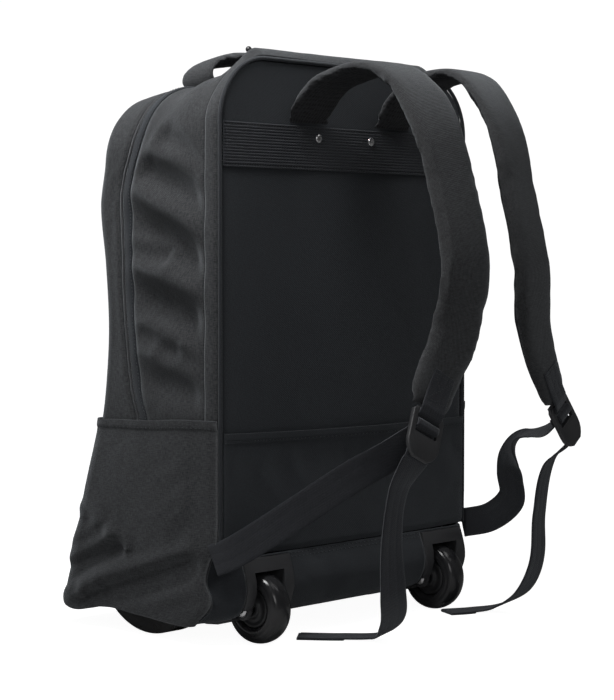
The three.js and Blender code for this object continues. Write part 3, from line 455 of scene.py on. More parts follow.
def folds_at(folds, y, z):
    depth = 0.0
    for (y0, z0), (y1, z1), width, deep in folds:
        dy, dz = y1 - y0, z1 - z0
        t = min(max(((y - y0) * dy + (z - z0) * dz) / (dy * dy + dz * dz), 0), 1)
        away = math.hypot(y - y0 - t * dy, z - z0 - t * dz) / width
        if away < 4:
            upper = 1 if (z - z0 - t * dz) > 0 else 0.3
            ridge = 0.55 * upper * math.exp(-((away - 1.7) / 0.75) ** 2)
            depth += deep * (math.exp(-away * away) - ridge)
    return depth


def crumple(x, y, z, size, height):
    """Soft irregular creases, the same at each run."""
    here = Vector((x, y, z)) / size
    return height * (1 - 2 * abs(noise.noise(here))) * noise.noise(here * 0.37 + Vector((7, 3, 1)))


def fullness(where, forward):
    height, share, nx, nz, x = where
    if nz > 0.6:
        return crumple(x, forward, height, 34, 1.2)
    flat = depth_at(height) - FRONT_ROUND
    across = math.sin(math.pi * min(max(forward / flat, 0), 1))
    by_zip = 1 - 0.92 * math.exp(-(((forward - zip_at(height)) / 19) ** 2))
    by_back = 1 - 0.9 * math.exp(-(((forward - pull_at(height) - 12) / 13) ** 2))
    up = math.sin(math.pi * min(max(share, 0), 1))
    folds = folds_at(SIDE_FOLDS, forward, height) * (1 - nz)
    creases = crumple(x, forward, height, 30, 1.3) * min(across * 2, 1)
    return across * 4.0 * up * (1 - nz) + (creases - 1.5 * min(across * 1.6, 1) * folds) * by_zip * by_back


def seam_dip(distance, deep=1.1, reach=2.6):
    """How far cloth dips into a seam at a distance from it in mm."""
    return deep * math.exp(-((distance / reach) ** 2))


SEAM_GAP = 0.2
PIPING = 2.15
STRIP = 14.0
ZIP_HALF = 7.5
BAG_MIDDLE = spot(0, 75, 240)


def skin_band(name, columns, rows, start, end, stands_for, dips=(1, 1)):
    """A band of the skin between two lines, each given against the height."""

    def place(u, v):
        where = station(HALF_ARCH * (2 * u - 1))
        low, high = start(where[0]), end(where[0])
        forward = low + (high - low) * v
        out = fullness(where, forward)
        out -= dips[0] * seam_dip(forward - low) + dips[1] * seam_dip(high - forward)
        return on_skin(where, forward, out)

    breadth = (end(300) - start(300)) / 1000
    bm = laid(columns, rows, place, (2 * HALF_ARCH / 1000, breadth), BAG_MIDDLE)
    piece = keep(bm, name, [MELANGE], stands_for=[stands_for])
    thicken(piece, CLOTH / 1000)


def front_seam(height):
    return depth_at(height) + FRONT_ROUND * (math.pi / 2 - 1)


skin_band(
    "rear_edge_strip_cloth", 420, 10,
    lambda h: pull_at(h) + PIPING, lambda h: pull_at(h) + PIPING + STRIP - SEAM_GAP,
    "rear_edge_strip", (1, 0.35),
)
skin_band(
    "main_gusset_cloth", 460, 56,
    lambda h: pull_at(h) + PIPING + STRIP + SEAM_GAP, lambda h: zip_at(h) - ZIP_HALF - SEAM_GAP,
    "main_gusset", (0.35, 1),
)
skin_band(
    "front_gusset_cloth", 460, 36,
    lambda h: zip_at(h) + ZIP_HALF + SEAM_GAP, lambda h: front_seam(h) - SEAM_GAP,
    "front_gusset",
)

# Side zip: a black coil zip let into the skin. Its coil lies in a narrow slot beside the front
# gusset, and a cloth strip sewn along the main gusset covers the rest of its tape.
ZIP_TOP_OF_POCKET = 160.5
ZIP_HALF_ARCH = TOP_FLAT + TURN_LENGTH + ARCH_BASE - ZIP_TOP_OF_POCKET
BLACK_TAPE = cloth("zip_tape", (0.006, 0.006, 0.007), (0.016, 0.016, 0.018), yarns=1800.0, streaks=0.25)


def zip_strip(name, columns, rows, start, end, out, material, stands_for=(), wall=0.8):
    """A narrow strip along the zip, between two distances from its middle, out at each share."""

    def place(u, v):
        where = station(ZIP_HALF_ARCH * (2 * u - 1))
        forward = zip_at(where[0]) + start + (end - start) * v
        return on_skin(where, forward, fullness(where, forward) + out(v, u))

    size = (2 * ZIP_HALF_ARCH / 1000, abs(end - start) / 1000)
    bm = laid(columns, rows, place, size, BAG_MIDDLE)
    piece = keep(bm, name, [material], stands_for=stands_for)
    thicken(piece, wall / 1000)
    return piece


zip_strip(
    "zip_tape", 360, 4, -ZIP_HALF, ZIP_HALF - 0.2,
    lambda v, u: -1.6, BLACK_TAPE, ["side_zip"],
)
COIL_PITCH = 1.6
COIL = cloth("zip_coil", (0.020, 0.0205, 0.022), (0.060, 0.061, 0.065), yarns=1800.0, streaks=0.2)
coil_turns = int(2 * ZIP_HALF_ARCH / COIL_PITCH)
zip_strip(
    "zip_coil", coil_turns * 3, 6, ZIP_HALF - 4.4, ZIP_HALF - 2.0,
    lambda v, u: -0.9 + 0.9 * math.sin(math.pi * v) + 0.22 * math.cos(2 * math.pi * coil_turns * u),
    COIL, wall=0.5,
)
zip_strip(
    "zip_cover", 420, 12, -ZIP_HALF, ZIP_HALF - 6.2,
    lambda v, u: 0.1 - 0.7 * math.exp(-((v / 0.1) ** 2)) + 0.35 * math.sin(math.pi * min(v * 1.15, 1)),
    PANEL, wall=0.9,
)


# Stitches: polyester thread in the cloth's own greys, one short raised stitch after another.
THREAD = cloth("thread", (0.016, 0.0165, 0.018), (0.050, 0.051, 0.055), yarns=2400.0, mapped=False)


THREAD_RADIUS, STITCH_SHARE = 0.0003, 0.62


def stitches(name, rows, pitch=3.4, body="bag"):
    """Rows of thread stitches: each row is a line, a place for each t from 0 to 1, and its length in mm."""
    bm = bmesh.new()
    for line, length in rows:
        count = int(length / pitch)
        for i in range(count):
            one, two = line(i / count), line((i + STITCH_SHARE) / count)
            run = two - one
            bmesh.ops.create_icosphere(
                bm, subdivisions=1, radius=1,
                matrix=Matrix.Translation((one + two) / 2)
                @ run.to_track_quat("X", "Z").to_matrix().to_4x4()
                @ Matrix.Diagonal((run.length / 2, THREAD_RADIUS, THREAD_RADIUS, 1)),
            )
    return keep(bm, name, [THREAD], body)


def along_zip(offset, out):
    def line(t):
        where = station(ZIP_HALF_ARCH * (2 * t - 1))
        forward = zip_at(where[0]) + offset
        return on_skin(where, forward, fullness(where, forward) + out)

    return line, 2 * ZIP_HALF_ARCH


stitches("zip_stitches", [along_zip(1 - ZIP_HALF, 0.15), along_zip(ZIP_HALF - 7.4, 0.45)])

# Side pockets: an outer layer of melange cloth over each lower side, sewn in at the back, the
# front and the bottom. A folded hem is stitched along the open top, and the cloth is drawn into
# folds at the lower front corner, where it is gathered over the end of the base.
POCKET_TOP, HEM, HEM_EXTRA = 194.0, 8.0, 1.0
POCKET_FOLDS = [
    ((200, 40), (120, 76), 8, 4.4), ((152, 26), (28, 66), 10, 5.6), ((192, 56), (140, 84), 8, 1.8),
    ((176, 20), (146, 30), 5, 2.4), ((198, 70), (176, 100), 6, 1.6),
]
POCKET_BOTTOM = [
    (0.0, 19.0), (17.0, 19.0), (35.0, 15.8), (60.0, 16.2), (85.0, 18.2), (104.0, 19.4), (126.0, 21.3),
    (139.0, 21.1), (150.0, 20.0), (163.0, 17.0), (176.0, 14.6), (187.0, 15.0), (195.0, 18.6), (199.0, 25.0),
    (206.0, 36.0),
]


def mix(a, b, t):
    return a + (b - a) * t


def pocket_bottom(y):
    return through(POCKET_BOTTOM, y)


def pocket_forward(level, u):
    start, flat, end = pull_at(level) + 0.35, depth_at(level) - FRONT_ROUND, front_seam(level) - 0.35
    turn_share = 3 / 7
    if u < 1 - turn_share:
        return mix(start, flat, u / (1 - turn_share))
    return mix(flat, end, (u - 1 + turn_share) / turn_share)


def pocket_point(side, u, height_share, out=0.0):
    hem_start = POCKET_TOP - HEM
    level = mix(GROUND_GAP, POCKET_TOP, height_share)
    forward = pocket_forward(min(level, hem_start), u)
    height = mix(pocket_bottom(forward), POCKET_TOP, height_share)
    share = min((height - GROUND_GAP) / (hem_start - GROUND_GAP), 1)
    where = height, (height - GROUND_GAP) / (ARCH_BASE - GROUND_GAP), side, 0.0, side * WIDTH / 2
    round_share = math.sin(math.pi * u) * math.sin(math.pi * min(max(share, 0), 0.97))
    edge = min(u * 9, (1 - u) * 9, 1) * min(share * 7 + 0.25, 1)
    folds = edge * folds_at(POCKET_FOLDS, forward, height)
    wrinkle = crumple(side * 40, forward, height, 26, 1.6) * edge
    standing = max(fullness(where, forward), 0) + 1.3 + max(3.0 * round_share - folds, -1.2) + wrinkle
    hem = HEM_EXTRA * smoothstep(height, hem_start - 0.4, hem_start + 0.4)
    groove = 0.5 * math.exp(-(((height - hem_start - 1.2) / 0.7) ** 2))
    tuck = seam_dip(u * 150, 1.0, 3.0)
    return on_skin(where, forward, standing + CLOTH + hem - groove - tuck + out)


for side_name, side in (("left", -1), ("right", 1)):
    bm = laid(
        110, 170,
        lambda u, v: pocket_point(side, u, v),
        (0.26, 0.176),
        BAG_MIDDLE,
    )
    pocket = keep(
        bm, f"side_pocket_{side_name}_cloth", [MELANGE],
        stands_for=[f"side_pocket_{side_name}"],
    )
    thicken(pocket, CLOTH / 1000, rounding=0.0006)


    def pocket_hem(t):
        u = mix(0.02, 0.985, t)
        low = pocket_bottom(pocket_forward(POCKET_TOP - HEM, u))
        return pocket_point(side, u, (POCKET_TOP - HEM + 1.2 - low) / (POCKET_TOP - low), 0.15)

    stitches(f"side_pocket_{side_name}_stitches", [(pocket_hem, 165)])

# Front panel: hidden in the photo and finished plainly, one panel of melange cloth, a little
# crowned, that is sewn to the front gusset inside the rounded front edge.
FRONT_INSET = FRONT_ROUND + 0.35
FRONT_FALL = fall_at(146.0 - FRONT_ROUND)
FRONT_TOP = HEIGHT - FRONT_FALL - FRONT_INSET


def rounded_panel(inset, bottom, top, u, v):
    """x and z of a share across and up a flat panel with rounded top corners."""
    radius = CORNER - inset
    straight = 0.86
    if v <= straight:
        angle, z = 0.0, mix(bottom, top - radius, v / straight)
    else:
        angle = (v - straight) / (1 - straight) * math.pi / 2
        z = top - radius + radius * math.sin(angle)
    half = WIDTH / 2 - inset - radius * (1 - math.cos(angle))
    return half * math.sin((u - 0.5) * math.pi), z


def front_point(u, v):
    x, z = rounded_panel(FRONT_INSET, 23.2, FRONT_TOP, u, v)
    across = 1 - (x / (WIDTH / 2 - FRONT_INSET)) ** 2
    share = min(max((z - GROUND_GAP) / (ARCH_BASE - FRONT_FALL - GROUND_GAP), 0), 1)
    y = depth_at(z + FRONT_FALL * share**2) + 5.0 * across * math.sin(math.pi * share)
    loose = min(across * 6, 1) * math.sin(math.pi * min(max(share, 0.0), 1.0))
    return spot(x, y + crumple(x, 300, z, 60, 1.6) * loose, z)


bm = laid(120, 150, front_point, (0.3, 0.44), BAG_MIDDLE)
front = keep(bm, "front_panel_cloth", [MELANGE], stands_for=["front_panel"])
thicken(front, CLOTH / 1000)

# Back panel: a foam board under tight dark cloth, a little crowned, with piping round its edge
# from the base's seam up over the top. It is soft to lean on.
BACK_INSET = 4.3
BACK_TOP = HEIGHT - 8.0 - BACK_INSET
BASE_SEAM = 77.0
BOARD = 7.0


def back_crown(x, z):
    across = max(1 - (x / (WIDTH / 2 - BACK_INSET)) ** 2, 0)
    return 2.0 * across * max(math.sin(math.pi * min(max((z - BASE_SEAM) / (BACK_TOP - BASE_SEAM), 0), 1)), 0)


def back_point(u, v):
    x, z = rounded_panel(BACK_INSET, BASE_SEAM + 0.35, BACK_TOP, u, v)
    edge = min(WIDTH / 2 - BACK_INSET - abs(x), z - BASE_SEAM, BACK_TOP - z)
    rounding = 1.6 * math.exp(-max(edge, 0) / 2.2)
    soft = crumple(x, -40, z, 55, 0.5) * min(max(edge, 0) / 20, 1)
    return spot(x, -back_crown(x, z) + rounding + soft, z)


bm = laid(150, 190, back_point, (0.32, 0.42), BAG_MIDDLE)
back = keep(bm, "back_panel_pad", [PANEL], stands_for=["back_panel"])
thicken(back, BOARD / 1000)

PIPING_RADIUS = 1.8
PIPING_CLOTH = cloth("piping_cloth", (0.010, 0.011, 0.013), (0.028, 0.030, 0.035), yarns=1800.0, streaks=0.3)


def ring_tube(name, around, along, place, size, materials, stands_for=(), body="bag"):
    """A closed tube: place(u, v) goes once round for u from 0 to 1, and along it with v."""
    bm = laid(around, along, place, size)
    bmesh.ops.remove_doubles(bm, verts=bm.verts, dist=1e-6)
    bmesh.ops.holes_fill(bm, edges=[e for e in bm.edges if e.is_boundary])
    bmesh.ops.recalc_face_normals(bm, faces=bm.faces)
    return keep(bm, name, materials, body, stands_for)


def piping_point(u, v):
    where = station(HALF_ARCH * (2 * v - 1))
    height, share, nx, nz, x = where
    if share < 1:
        z = mix(BASE_SEAM + 0.35, ARCH_BASE - 8.0, (height - SKIN_BOTTOM) / (ARCH_BASE - SKIN_BOTTOM))
    else:
        z = height - 8.0
    angle = 2 * math.pi * u
    inward = PIPING_RADIUS * (1 - math.cos(angle))
    return spot(x - nx * inward, PIPING_RADIUS * math.sin(angle), z - nz * inward)


ring_tube(
    "back_piping_cord", 12, 420, piping_point, (0.0113, 2 * HALF_ARCH / 1000),
    [PIPING_CLOTH], ["back_piping"],
)

# Webbing band: flat webbing with fine ribs along it, sewn across the back panel under the
# straps' roots, with a thin stitched edge above and below. Two bright rivets hold it.
BAND_TOP, BAND_HEIGHT, BAND_THICKNESS, RIBS = 443.0, 38.0, 1.5, 15
BAND_HALF = WIDTH / 2 - BACK_INSET - 0.7
WEBBING_DARK, WEBBING_LIGHT = (0.011, 0.0115, 0.0145), (0.031, 0.0325, 0.0380)
WEBBING = cloth("webbing", WEBBING_DARK, WEBBING_LIGHT, yarns=1000.0, streaks=0.3, depth=0.8)


def band_point(u, v):
    x, z = mix(-BAND_HALF, BAND_HALF, u), BAND_TOP - BAND_HEIGHT * (1 - v)
    rib = abs(math.sin(math.pi * RIBS * v)) ** 0.6
    edge = min(v, 1 - v) * BAND_HEIGHT
    border = 0.5 * math.exp(-(((edge - 1.9) / 0.5) ** 2))
    return spot(x, -back_crown(x, z) - 0.35 - BAND_THICKNESS + 0.55 * (1 - rib) + border, z)


bm = laid(90, RIBS * 12, band_point, (2 * BAND_HALF / 1000, BAND_HEIGHT / 1000), BAG_MIDDLE)
band = keep(bm, "webbing_band_ribs", [WEBBING], stands_for=["webbing_band"])
thicken(band, 1.1 / 1000)

METAL = bpy.data.materials.new("rivet_metal")
METAL.use_nodes = True
tree = METAL.node_tree
shader = tree.nodes["Principled BSDF"]
shader.inputs["Metallic"].default_value = 1.0
source = tree.nodes.new("ShaderNodeTexCoord")
brushed = stretched_noise(tree, source.outputs["Object"], (3000.0, 900.0, 900.0))
steel = mixed(tree, brushed, (0.55, 0.55, 0.56, 1), (0.86, 0.86, 0.87, 1))
tree.links.new(steel, shader.inputs["Base Color"])
tree.links.new(maths(tree, "MULTIPLY_ADD", brushed, 0.2, 0.16), shader.inputs["Roughness"])


def turned(bm, outline, middle, axis, steps=48):
    """Spins an outline of (radius, along) rows round an axis through a middle point, all the way."""
    side_way = Vector((0, 0, 1)) if abs(axis.z) < 0.9 else Vector((1, 0, 0))
    radial = side_way.cross(axis).normalized()
    verts = [bm.verts.new(middle + radial * r + axis * a) for r, a in outline]
    edges = [bm.edges.new(pair) for pair in zip(verts, verts[1:])]
    bmesh.ops.spin(
        bm, geom=verts + edges, cent=middle, axis=axis, angle=2 * math.pi, steps=steps, use_merge=True
    )
    bmesh.ops.remove_doubles(bm, verts=bm.verts, dist=1e-6)
    bmesh.ops.recalc_face_normals(bm, faces=bm.faces)


# Rivets: domed steel heads, whose outline runs from the middle of the dome round its rim.
RIVET_SPACING, RIVET_MIDDLE, RIVET_HEIGHT = 70.0, -9.0, 433.0
RIVET_OUTLINE = [
    (0, 0.0017), (0.0014, 0.00165), (0.0028, 0.0013), (0.0037, 0.0007), (0.004, 0.0),
    (0.0038, -0.0004), (0, -0.0004),
]
for side_name, side in (("left", -1), ("right", 1)):
    x = RIVET_MIDDLE + side * RIVET_SPACING / 2
    face_y = -back_crown(x, RIVET_HEIGHT) - 0.35 - BAND_THICKNESS
    bm = bmesh.new()
    turned(
        bm,
        RIVET_OUTLINE, spot(x, face_y, RIVET_HEIGHT), Vector((0, -1, 0)), 32,
    )
    keep(bm, f"rivet_{side_name}_head", [METAL], stands_for=[f"rivet_{side_name}"])

# Lower back pocket: a layer of dark cloth across the bottom of the back, open at the top with a
# folded hem that sags a little, and fuller towards the base's seam.
LOWER_TOP, REAR_BULGE = 182.0, 14.0
LOWER_HALF = WIDTH / 2 - BACK_INSET + 0.35


def lower_pocket_top(x):
    return LOWER_TOP - 4.0 * (1 - ((x - 66) / 231) ** 2)


def lower_pocket_point(u, v, out=0.0):
    x = LOWER_HALF * math.sin((u - 0.5) * math.pi)
    top = lower_pocket_top(x)
    z = mix(BASE_SEAM + 0.7, top, v)
    share = min((z - BASE_SEAM - 0.7) / (top - HEM - BASE_SEAM - 0.7), 1)
    round_share = 1 - (x / LOWER_HALF) ** 4
    bulge = REAR_BULGE * 0.5 * round_share * (1 - share) ** 1.3
    groove = 0.5 * math.exp(-(((z - top + HEM - 1.4) / 0.7) ** 2))
    hem = 0.95 * smoothstep(z, top - HEM - 0.4, top - HEM + 0.4) - groove
    gape = 2.2 * smoothstep(z, top - 30, top) * math.exp(-(((x - 10) / 90) ** 2))
    loose = crumple(x, -80, z, 38, 1.8) * min(round_share * 3, 1) * min((1 - share) * 4 + 0.2, 1)
    dip = seam_dip((1 - abs(2 * u - 1)) * 150, 1.0, 3.0) + seam_dip(v * 105, 1.2, 3.0)
    return spot(x, -back_crown(x, z) - 0.35 - bulge - CLOTH - hem - gape - loose + dip - out, z)


bm = laid(150, 110, lower_pocket_point, (0.32, 0.105), BAG_MIDDLE)
lower_pocket = keep(
    bm, "lower_back_pocket_cloth", [PANEL], stands_for=["lower_back_pocket"]
)
thicken(lower_pocket, CLOTH / 1000, rounding=0.0006)


def lower_pocket_hem(t):
    u = mix(0.02, 0.98, t)
    x = LOWER_HALF * math.sin((u - 0.5) * math.pi)
    top = lower_pocket_top(x)
    return lower_pocket_point(u, (top - HEM + 1.4 - BASE_SEAM - 0.7) / (top - BASE_SEAM - 0.7), 0.15)


stitches("lower_back_pocket_stitches", [(lower_pocket_hem, 320)])
stitches("webbing_band_stitches", [
    (lambda t, v=v: band_point(mix(0.01, 0.99, t), v) + Vector((0, -0.0003, 0)), 315) for v in (0.05, 0.95)
])

# Base: one stiff panel of dark cloth from the seam low on the back, round the lower edge and
# under the bag, cut out round the two wheel housings. A double row of stitches closes the seam.
BASE_ROWS = [
    (0.0, -7.7, 77.0), (0.08, -13.3, 60.48), (0.15, -14.7, 47.5), (0.2, -11.2, 36.29),
    (0.26, -4.2, 27.44), (0.33, 14.42, 20.36), (0.4, 32.96, 18.0), (0.55, 70.04, 20.95),
    (0.75, 131.84, 22.72), (1.0, 200.85, 23.9),
]
BASE_Y = [(at, y) for at, y, z in BASE_ROWS]
BASE_Z = [(at, z) for at, y, z in BASE_ROWS]
BASE_HALF = WIDTH / 2 - CLOTH - 0.7
WHEEL_X, HOUSING_HALF, HOUSING_TOP, HOUSING_REACH = 118.5, 28.5, 75.0, 50.0
BASE_WALL = 3.0


def profile_point(at, out):
    low, high = max(at - 0.004, 0), min(at + 0.004, 1)
    dy = through(BASE_Y, high) - through(BASE_Y, low)
    dz = through(BASE_Z, high) - through(BASE_Z, low)
    length = math.hypot(dy, dz)
    return through(BASE_Y, at) + out * dz / length, through(BASE_Z, at) - out * dy / length


def base_point(u, v):
    y, z = profile_point(v, 0)
    turn = max(y - (206.0 - FRONT_ROUND), 0)
    rounding = FRONT_ROUND - math.sqrt(max(FRONT_ROUND**2 - turn**2, 0))
    x = (BASE_HALF - rounding) * math.sin((u - 0.5) * math.pi)
    corner = smoothstep(abs(x), WHEEL_X + HOUSING_HALF + 2, BASE_HALF)
    rear = max(pull_at(z) + PIPING - y, 0)
    loose = crumple(x, 400, z + y, 30, 1.0) * math.exp(-max(y, 0) / 20) * (1 - corner)
    return spot(x, y + corner * rear - loose, z)


bm = laid(150, 150, base_point, (0.33, 0.29), BAG_MIDDLE)
for side in (-1, 1):
    for edge in (-1, 1):
        bmesh.ops.bisect_plane(
            bm, geom=bm.verts[:] + bm.edges[:] + bm.faces[:],
            plane_co=spot(side * WHEEL_X + edge * (HOUSING_HALF + 0.35), 0, 0), plane_no=Vector((1, 0, 0)),
        )
over_housing, behind_housing = spot(0, 0, HOUSING_TOP + 0.35), spot(0, HOUSING_REACH + 0.35, 0)
for plane, normal in ((over_housing, (0, 0, 1)), (behind_housing, (0, 1, 0))):
    bmesh.ops.bisect_plane(
        bm, geom=bm.verts[:] + bm.edges[:] + bm.faces[:], plane_co=plane, plane_no=Vector(normal)
    )
in_housing = []
for face in bm.faces:
    middle = face.calc_center_median()
    inside_x = abs(abs(middle.x) * 1000 - WHEEL_X) < HOUSING_HALF + 0.3
    inside_y = (middle.y - BACK_Y) * 1000 < HOUSING_REACH + 0.3
    if inside_x and inside_y and middle.z * 1000 < HOUSING_TOP + 0.3:
        in_housing.append(face)
bmesh.ops.delete(bm, geom=in_housing, context="FACES")
base = keep(bm, "base_panel_cloth", [PANEL], stands_for=["base_panel"])
thicken(base, BASE_WALL / 1000)
stitches("base_seam_stitches", [
    (lambda t, v=v: base_point(mix(0.03, 0.97, t), v) + Vector((0, -0.0003, 0)), 310) for v in (0.011, 0.026)
])

# Wheel housings: black plastic mouldings let into the base's lower corners, each a flange round
# an open well, with a lug for the axle on each cheek. Their edges are a little rounded.
def make_moulded_group():
    group = bpy.data.node_groups.new("moulded", "ShaderNodeTree")
    group_socket(group, "Plastic", "Color", (0.02, 0.02, 0.022, 1))
    group_socket(group, "Roughness", "Float", 0.4)
    group_socket(group, "Grain", "Float", 0.3)
    group_socket(group, "Scuffs", "Float", 0.3)
    group_socket(group, "Color", "Color", output=True)
    group_socket(group, "Roughness", "Float", output=True)
    group_socket(group, "Normal", "Vector", output=True)
    inside = group.nodes.new("NodeGroupInput")
    outside = group.nodes.new("NodeGroupOutput")
    source = group.nodes.new("ShaderNodeTexCoord")
    place = source.outputs["Object"]
    grain = stretched_noise(group, place, (1600.0, 1600.0, 1600.0))
    dust = stretched_noise(group, place, (60.0, 60.0, 45.0), 5.0)
    scratch = stretched_noise(group, place, (900.0, 120.0, 200.0), 1.0)
    worn = maths(group, "MULTIPLY", maths(group, "GREATER_THAN", scratch, 0.68), inside.outputs["Scuffs"])
    lighter = maths(group, "MULTIPLY_ADD", worn, 0.5, maths(group, "MULTIPLY", dust, 0.3))
    colour = mixed(group, lighter, inside.outputs["Plastic"], (0.09, 0.09, 0.095, 1))
    group.links.new(colour, outside.inputs["Color"])
    rough = maths(group, "MULTIPLY_ADD", dust, 0.16, inside.outputs["Roughness"])
    group.links.new(maths(group, "MULTIPLY_ADD", worn, 0.2, rough), outside.inputs["Roughness"])
    bump = group.nodes.new("ShaderNodeBump")
    bump.inputs["Distance"].default_value = 0.0002
    group.links.new(inside.outputs["Grain"], bump.inputs["Strength"])
    group.links.new(grain, bump.inputs["Height"])
    group.links.new(bump.outputs[0], outside.inputs["Normal"])
    return group


MOULDED = make_moulded_group()


def plastic(name, colour, roughness, grain=0.3, scuffs=0.2):
    material = bpy.data.materials.new(name)
    material.use_nodes = True
    tree = material.node_tree
    shader = tree.nodes["Principled BSDF"]
    moulded = tree.nodes.new("ShaderNodeGroup")
    moulded.node_tree = MOULDED
    moulded.inputs["Plastic"].default_value = (*colour, 1)
    moulded.inputs["Roughness"].default_value = roughness
    moulded.inputs["Grain"].default_value = grain
    moulded.inputs["Scuffs"].default_value = scuffs
    for output, socket in (("Color", "Base Color"), ("Roughness", "Roughness"), ("Normal", "Normal")):
        tree.links.new(moulded.outputs[output], shader.inputs[socket])
    return material


HOUSING = plastic("housing_plastic", (0.026, 0.0265, 0.029), 0.48)
TYRE = plastic("tyre_rubber", (0.006, 0.006, 0.007), 0.12, grain=0.05, scuffs=0.1)
HUB = plastic("hub_plastic", (0.016, 0.0165, 0.018), 0.3)
# The feet are black plastic, and their colour is set near black besides, as painted shade under the base.
FOOT_BLACK_WITH_PAINTED_SHADE = plastic("foot_plastic_painted_shade", (0.007, 0.007, 0.008), 0.2, grain=0.1)
LOCK = plastic("lock_plastic", (0.020, 0.0205, 0.0225), 0.38)


def moulded_copy(node, name, material, rounding, body="bag"):
    """A merged copy of a CAD node with rounded edges, which stands for it."""
    bm = bmesh.new()
    bm.from_mesh(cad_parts[node].data)
    bmesh.ops.remove_doubles(bm, verts=bm.verts, dist=2e-6)
    bmesh.ops.dissolve_limit(bm, angle_limit=math.radians(2), verts=bm.verts, edges=bm.edges)
    piece = keep(bm, name, [material], body, [node], smooth=False)
    piece.data.shade_smooth()
    edge = piece.modifiers.new("edge", "BEVEL")
    edge.width = rounding / 1000
    edge.segments = 2
    edge.limit_method = "ANGLE"
    edge.angle_limit = math.radians(32)
    edge.harden_normals = True
    edge.use_clamp_overlap = True
    return piece


AXLE_Y, AXLE_Z, AXLE_HALF, WHEEL_WIDTH = -2.0, 31.0, 21.4, 22.0
FOOT_HALF_TRACK, FOOT_Y, FOOT_RADIUS, FOOT_THICKNESS, FOOT_TOP = 139.0, 102.0, 70.0, 20.0, 20.6
FACE_INSET, FACE_DEPTH = 0.003, 0.0012
SIDE_WAY = Vector((1, 0, 0))


def mm(rows):
    return [(a / 1000, b / 1000) for a, b in rows]


for side_name, side in (("left", -1), ("right", 1)):
    wheel_body = f"wheel_{side_name}"
    centre = spot(side * WHEEL_X, AXLE_Y, AXLE_Z)
    moulded_copy(f"wheel_housing_{side_name}", f"wheel_housing_{side_name}_shell", HOUSING, 0.7)

    # Axle: a steel pin with a domed head outside each cheek.
    bm = bmesh.new()
    head = [(0, 3), (3, 2.9), (5, 2.3), (6, 1), (6, 0), (4, 0)]
    one_end = [(r, AXLE_HALF + over) for r, over in head]
    turned(bm, mm(one_end + [(r, -a) for r, a in reversed(one_end)]), centre, SIDE_WAY)
    keep(bm, f"axle_{side_name}_pin", [METAL], stands_for=[f"axle_{side_name}"])

    # Tyre: glossy black, round at the tread, with a fine ridge at each shoulder.
    bm = bmesh.new()
    tread = WHEEL_WIDTH / 2
    outer = [
        (17, -tread + 2), (18, -tread + 0.7), (20, -tread), (23, -tread), (23.6, -tread + 0.5),
        (24.4, -tread + 0.4),
    ]
    for step in range(1, 16):
        angle = -math.pi / 2 + math.pi * step / 16
        outer.append((24.4 + 6.6 * math.cos(angle) ** 0.8, (tread - 0.4) * math.sin(angle)))
    outer += [(r, -a) for r, a in reversed(outer[:6])]
    outer.append(outer[0])
    turned(bm, mm(outer), centre, SIDE_WAY, 96)
    keep(bm, f"tyre_{side_name}_ring", [TYRE], wheel_body, [f"tyre_{side_name}"])

    # Hub: a moulded disc, sunk on both faces, with a boss round the axle and a raised rim.
    bm = bmesh.new()
    face = [
        (4.4, -tread), (8, -tread), (8.3, -tread + 0.4), (8.6, -8.6), (9.4, -8), (13.6, -8),
        (14.2, -8.8), (16.2, -8.8), (16.6, -8.2),
    ]
    turned(bm, mm(face + [(r, -a) for r, a in reversed(face)] + face[:1]), centre, SIDE_WAY, 64)
    keep(bm, f"hub_{side_name}_disc", [HUB], wheel_body, [f"hub_{side_name}"])

    # Foot: an upright glossy runner under the front of the base, with a sunk face inside its rim.
    bm = bmesh.new()
    disc_middle = spot(side * FOOT_HALF_TRACK - FOOT_THICKNESS / 2, FOOT_Y, FOOT_RADIUS)
    bmesh.ops.create_circle(
        bm, cap_ends=True, segments=160, radius=FOOT_RADIUS / 1000,
        matrix=Matrix.Translation(disc_middle) @ Matrix.Rotation(math.pi / 2, 4, "Y"),
    )
    bmesh.ops.bisect_plane(
        bm, geom=bm.verts[:] + bm.edges[:] + bm.faces[:], plane_co=spot(0, 0, FOOT_TOP),
        plane_no=Vector((0, 0, 1)), clear_outer=True,
    )
    made = bmesh.ops.extrude_face_region(bm, geom=bm.faces[:])
    moved = [g for g in made["geom"] if isinstance(g, bmesh.types.BMVert)]
    bmesh.ops.translate(bm, verts=moved, vec=(FOOT_THICKNESS / 1000, 0, 0))
    bmesh.ops.recalc_face_normals(bm, faces=bm.faces)
    cheeks = [f for f in bm.faces if abs(f.normal.x) > 0.9]
    bmesh.ops.inset_individual(
        bm, faces=cheeks, thickness=FACE_INSET, depth=-FACE_DEPTH, use_even_offset=True
    )
    foot = keep(bm, f"foot_{side_name}_runner", [FOOT_BLACK_WITH_PAINTED_SHADE], stands_for=[f"foot_{side_name}"])
    edge = foot.modifiers.new("edge", "BEVEL")
    edge.width, edge.segments, edge.limit_method = 0.0008, 2, "ANGLE"
    edge.angle_limit = math.radians(40)
    edge.harden_normals = True


# Zip puller: a metal slider on the coil at the top, with a moulded pale puller that lies back
# over the crest and ends in a black ball.
PULLER = plastic("puller_plastic", (0.42, 0.42, 0.43), 0.45)
BALL = plastic("ball_plastic", (0.008, 0.008, 0.009), 0.25)
PULLER_PLACES = [
    spot(-72, 90, 485.5), spot(-80, 74, 490), spot(-92, 48, 497), spot(-101, 30, 503), spot(-107, 21, 506.5),
]
PULLER_RADIUS, BALL_RADIUS = 0.0008, 0.0027


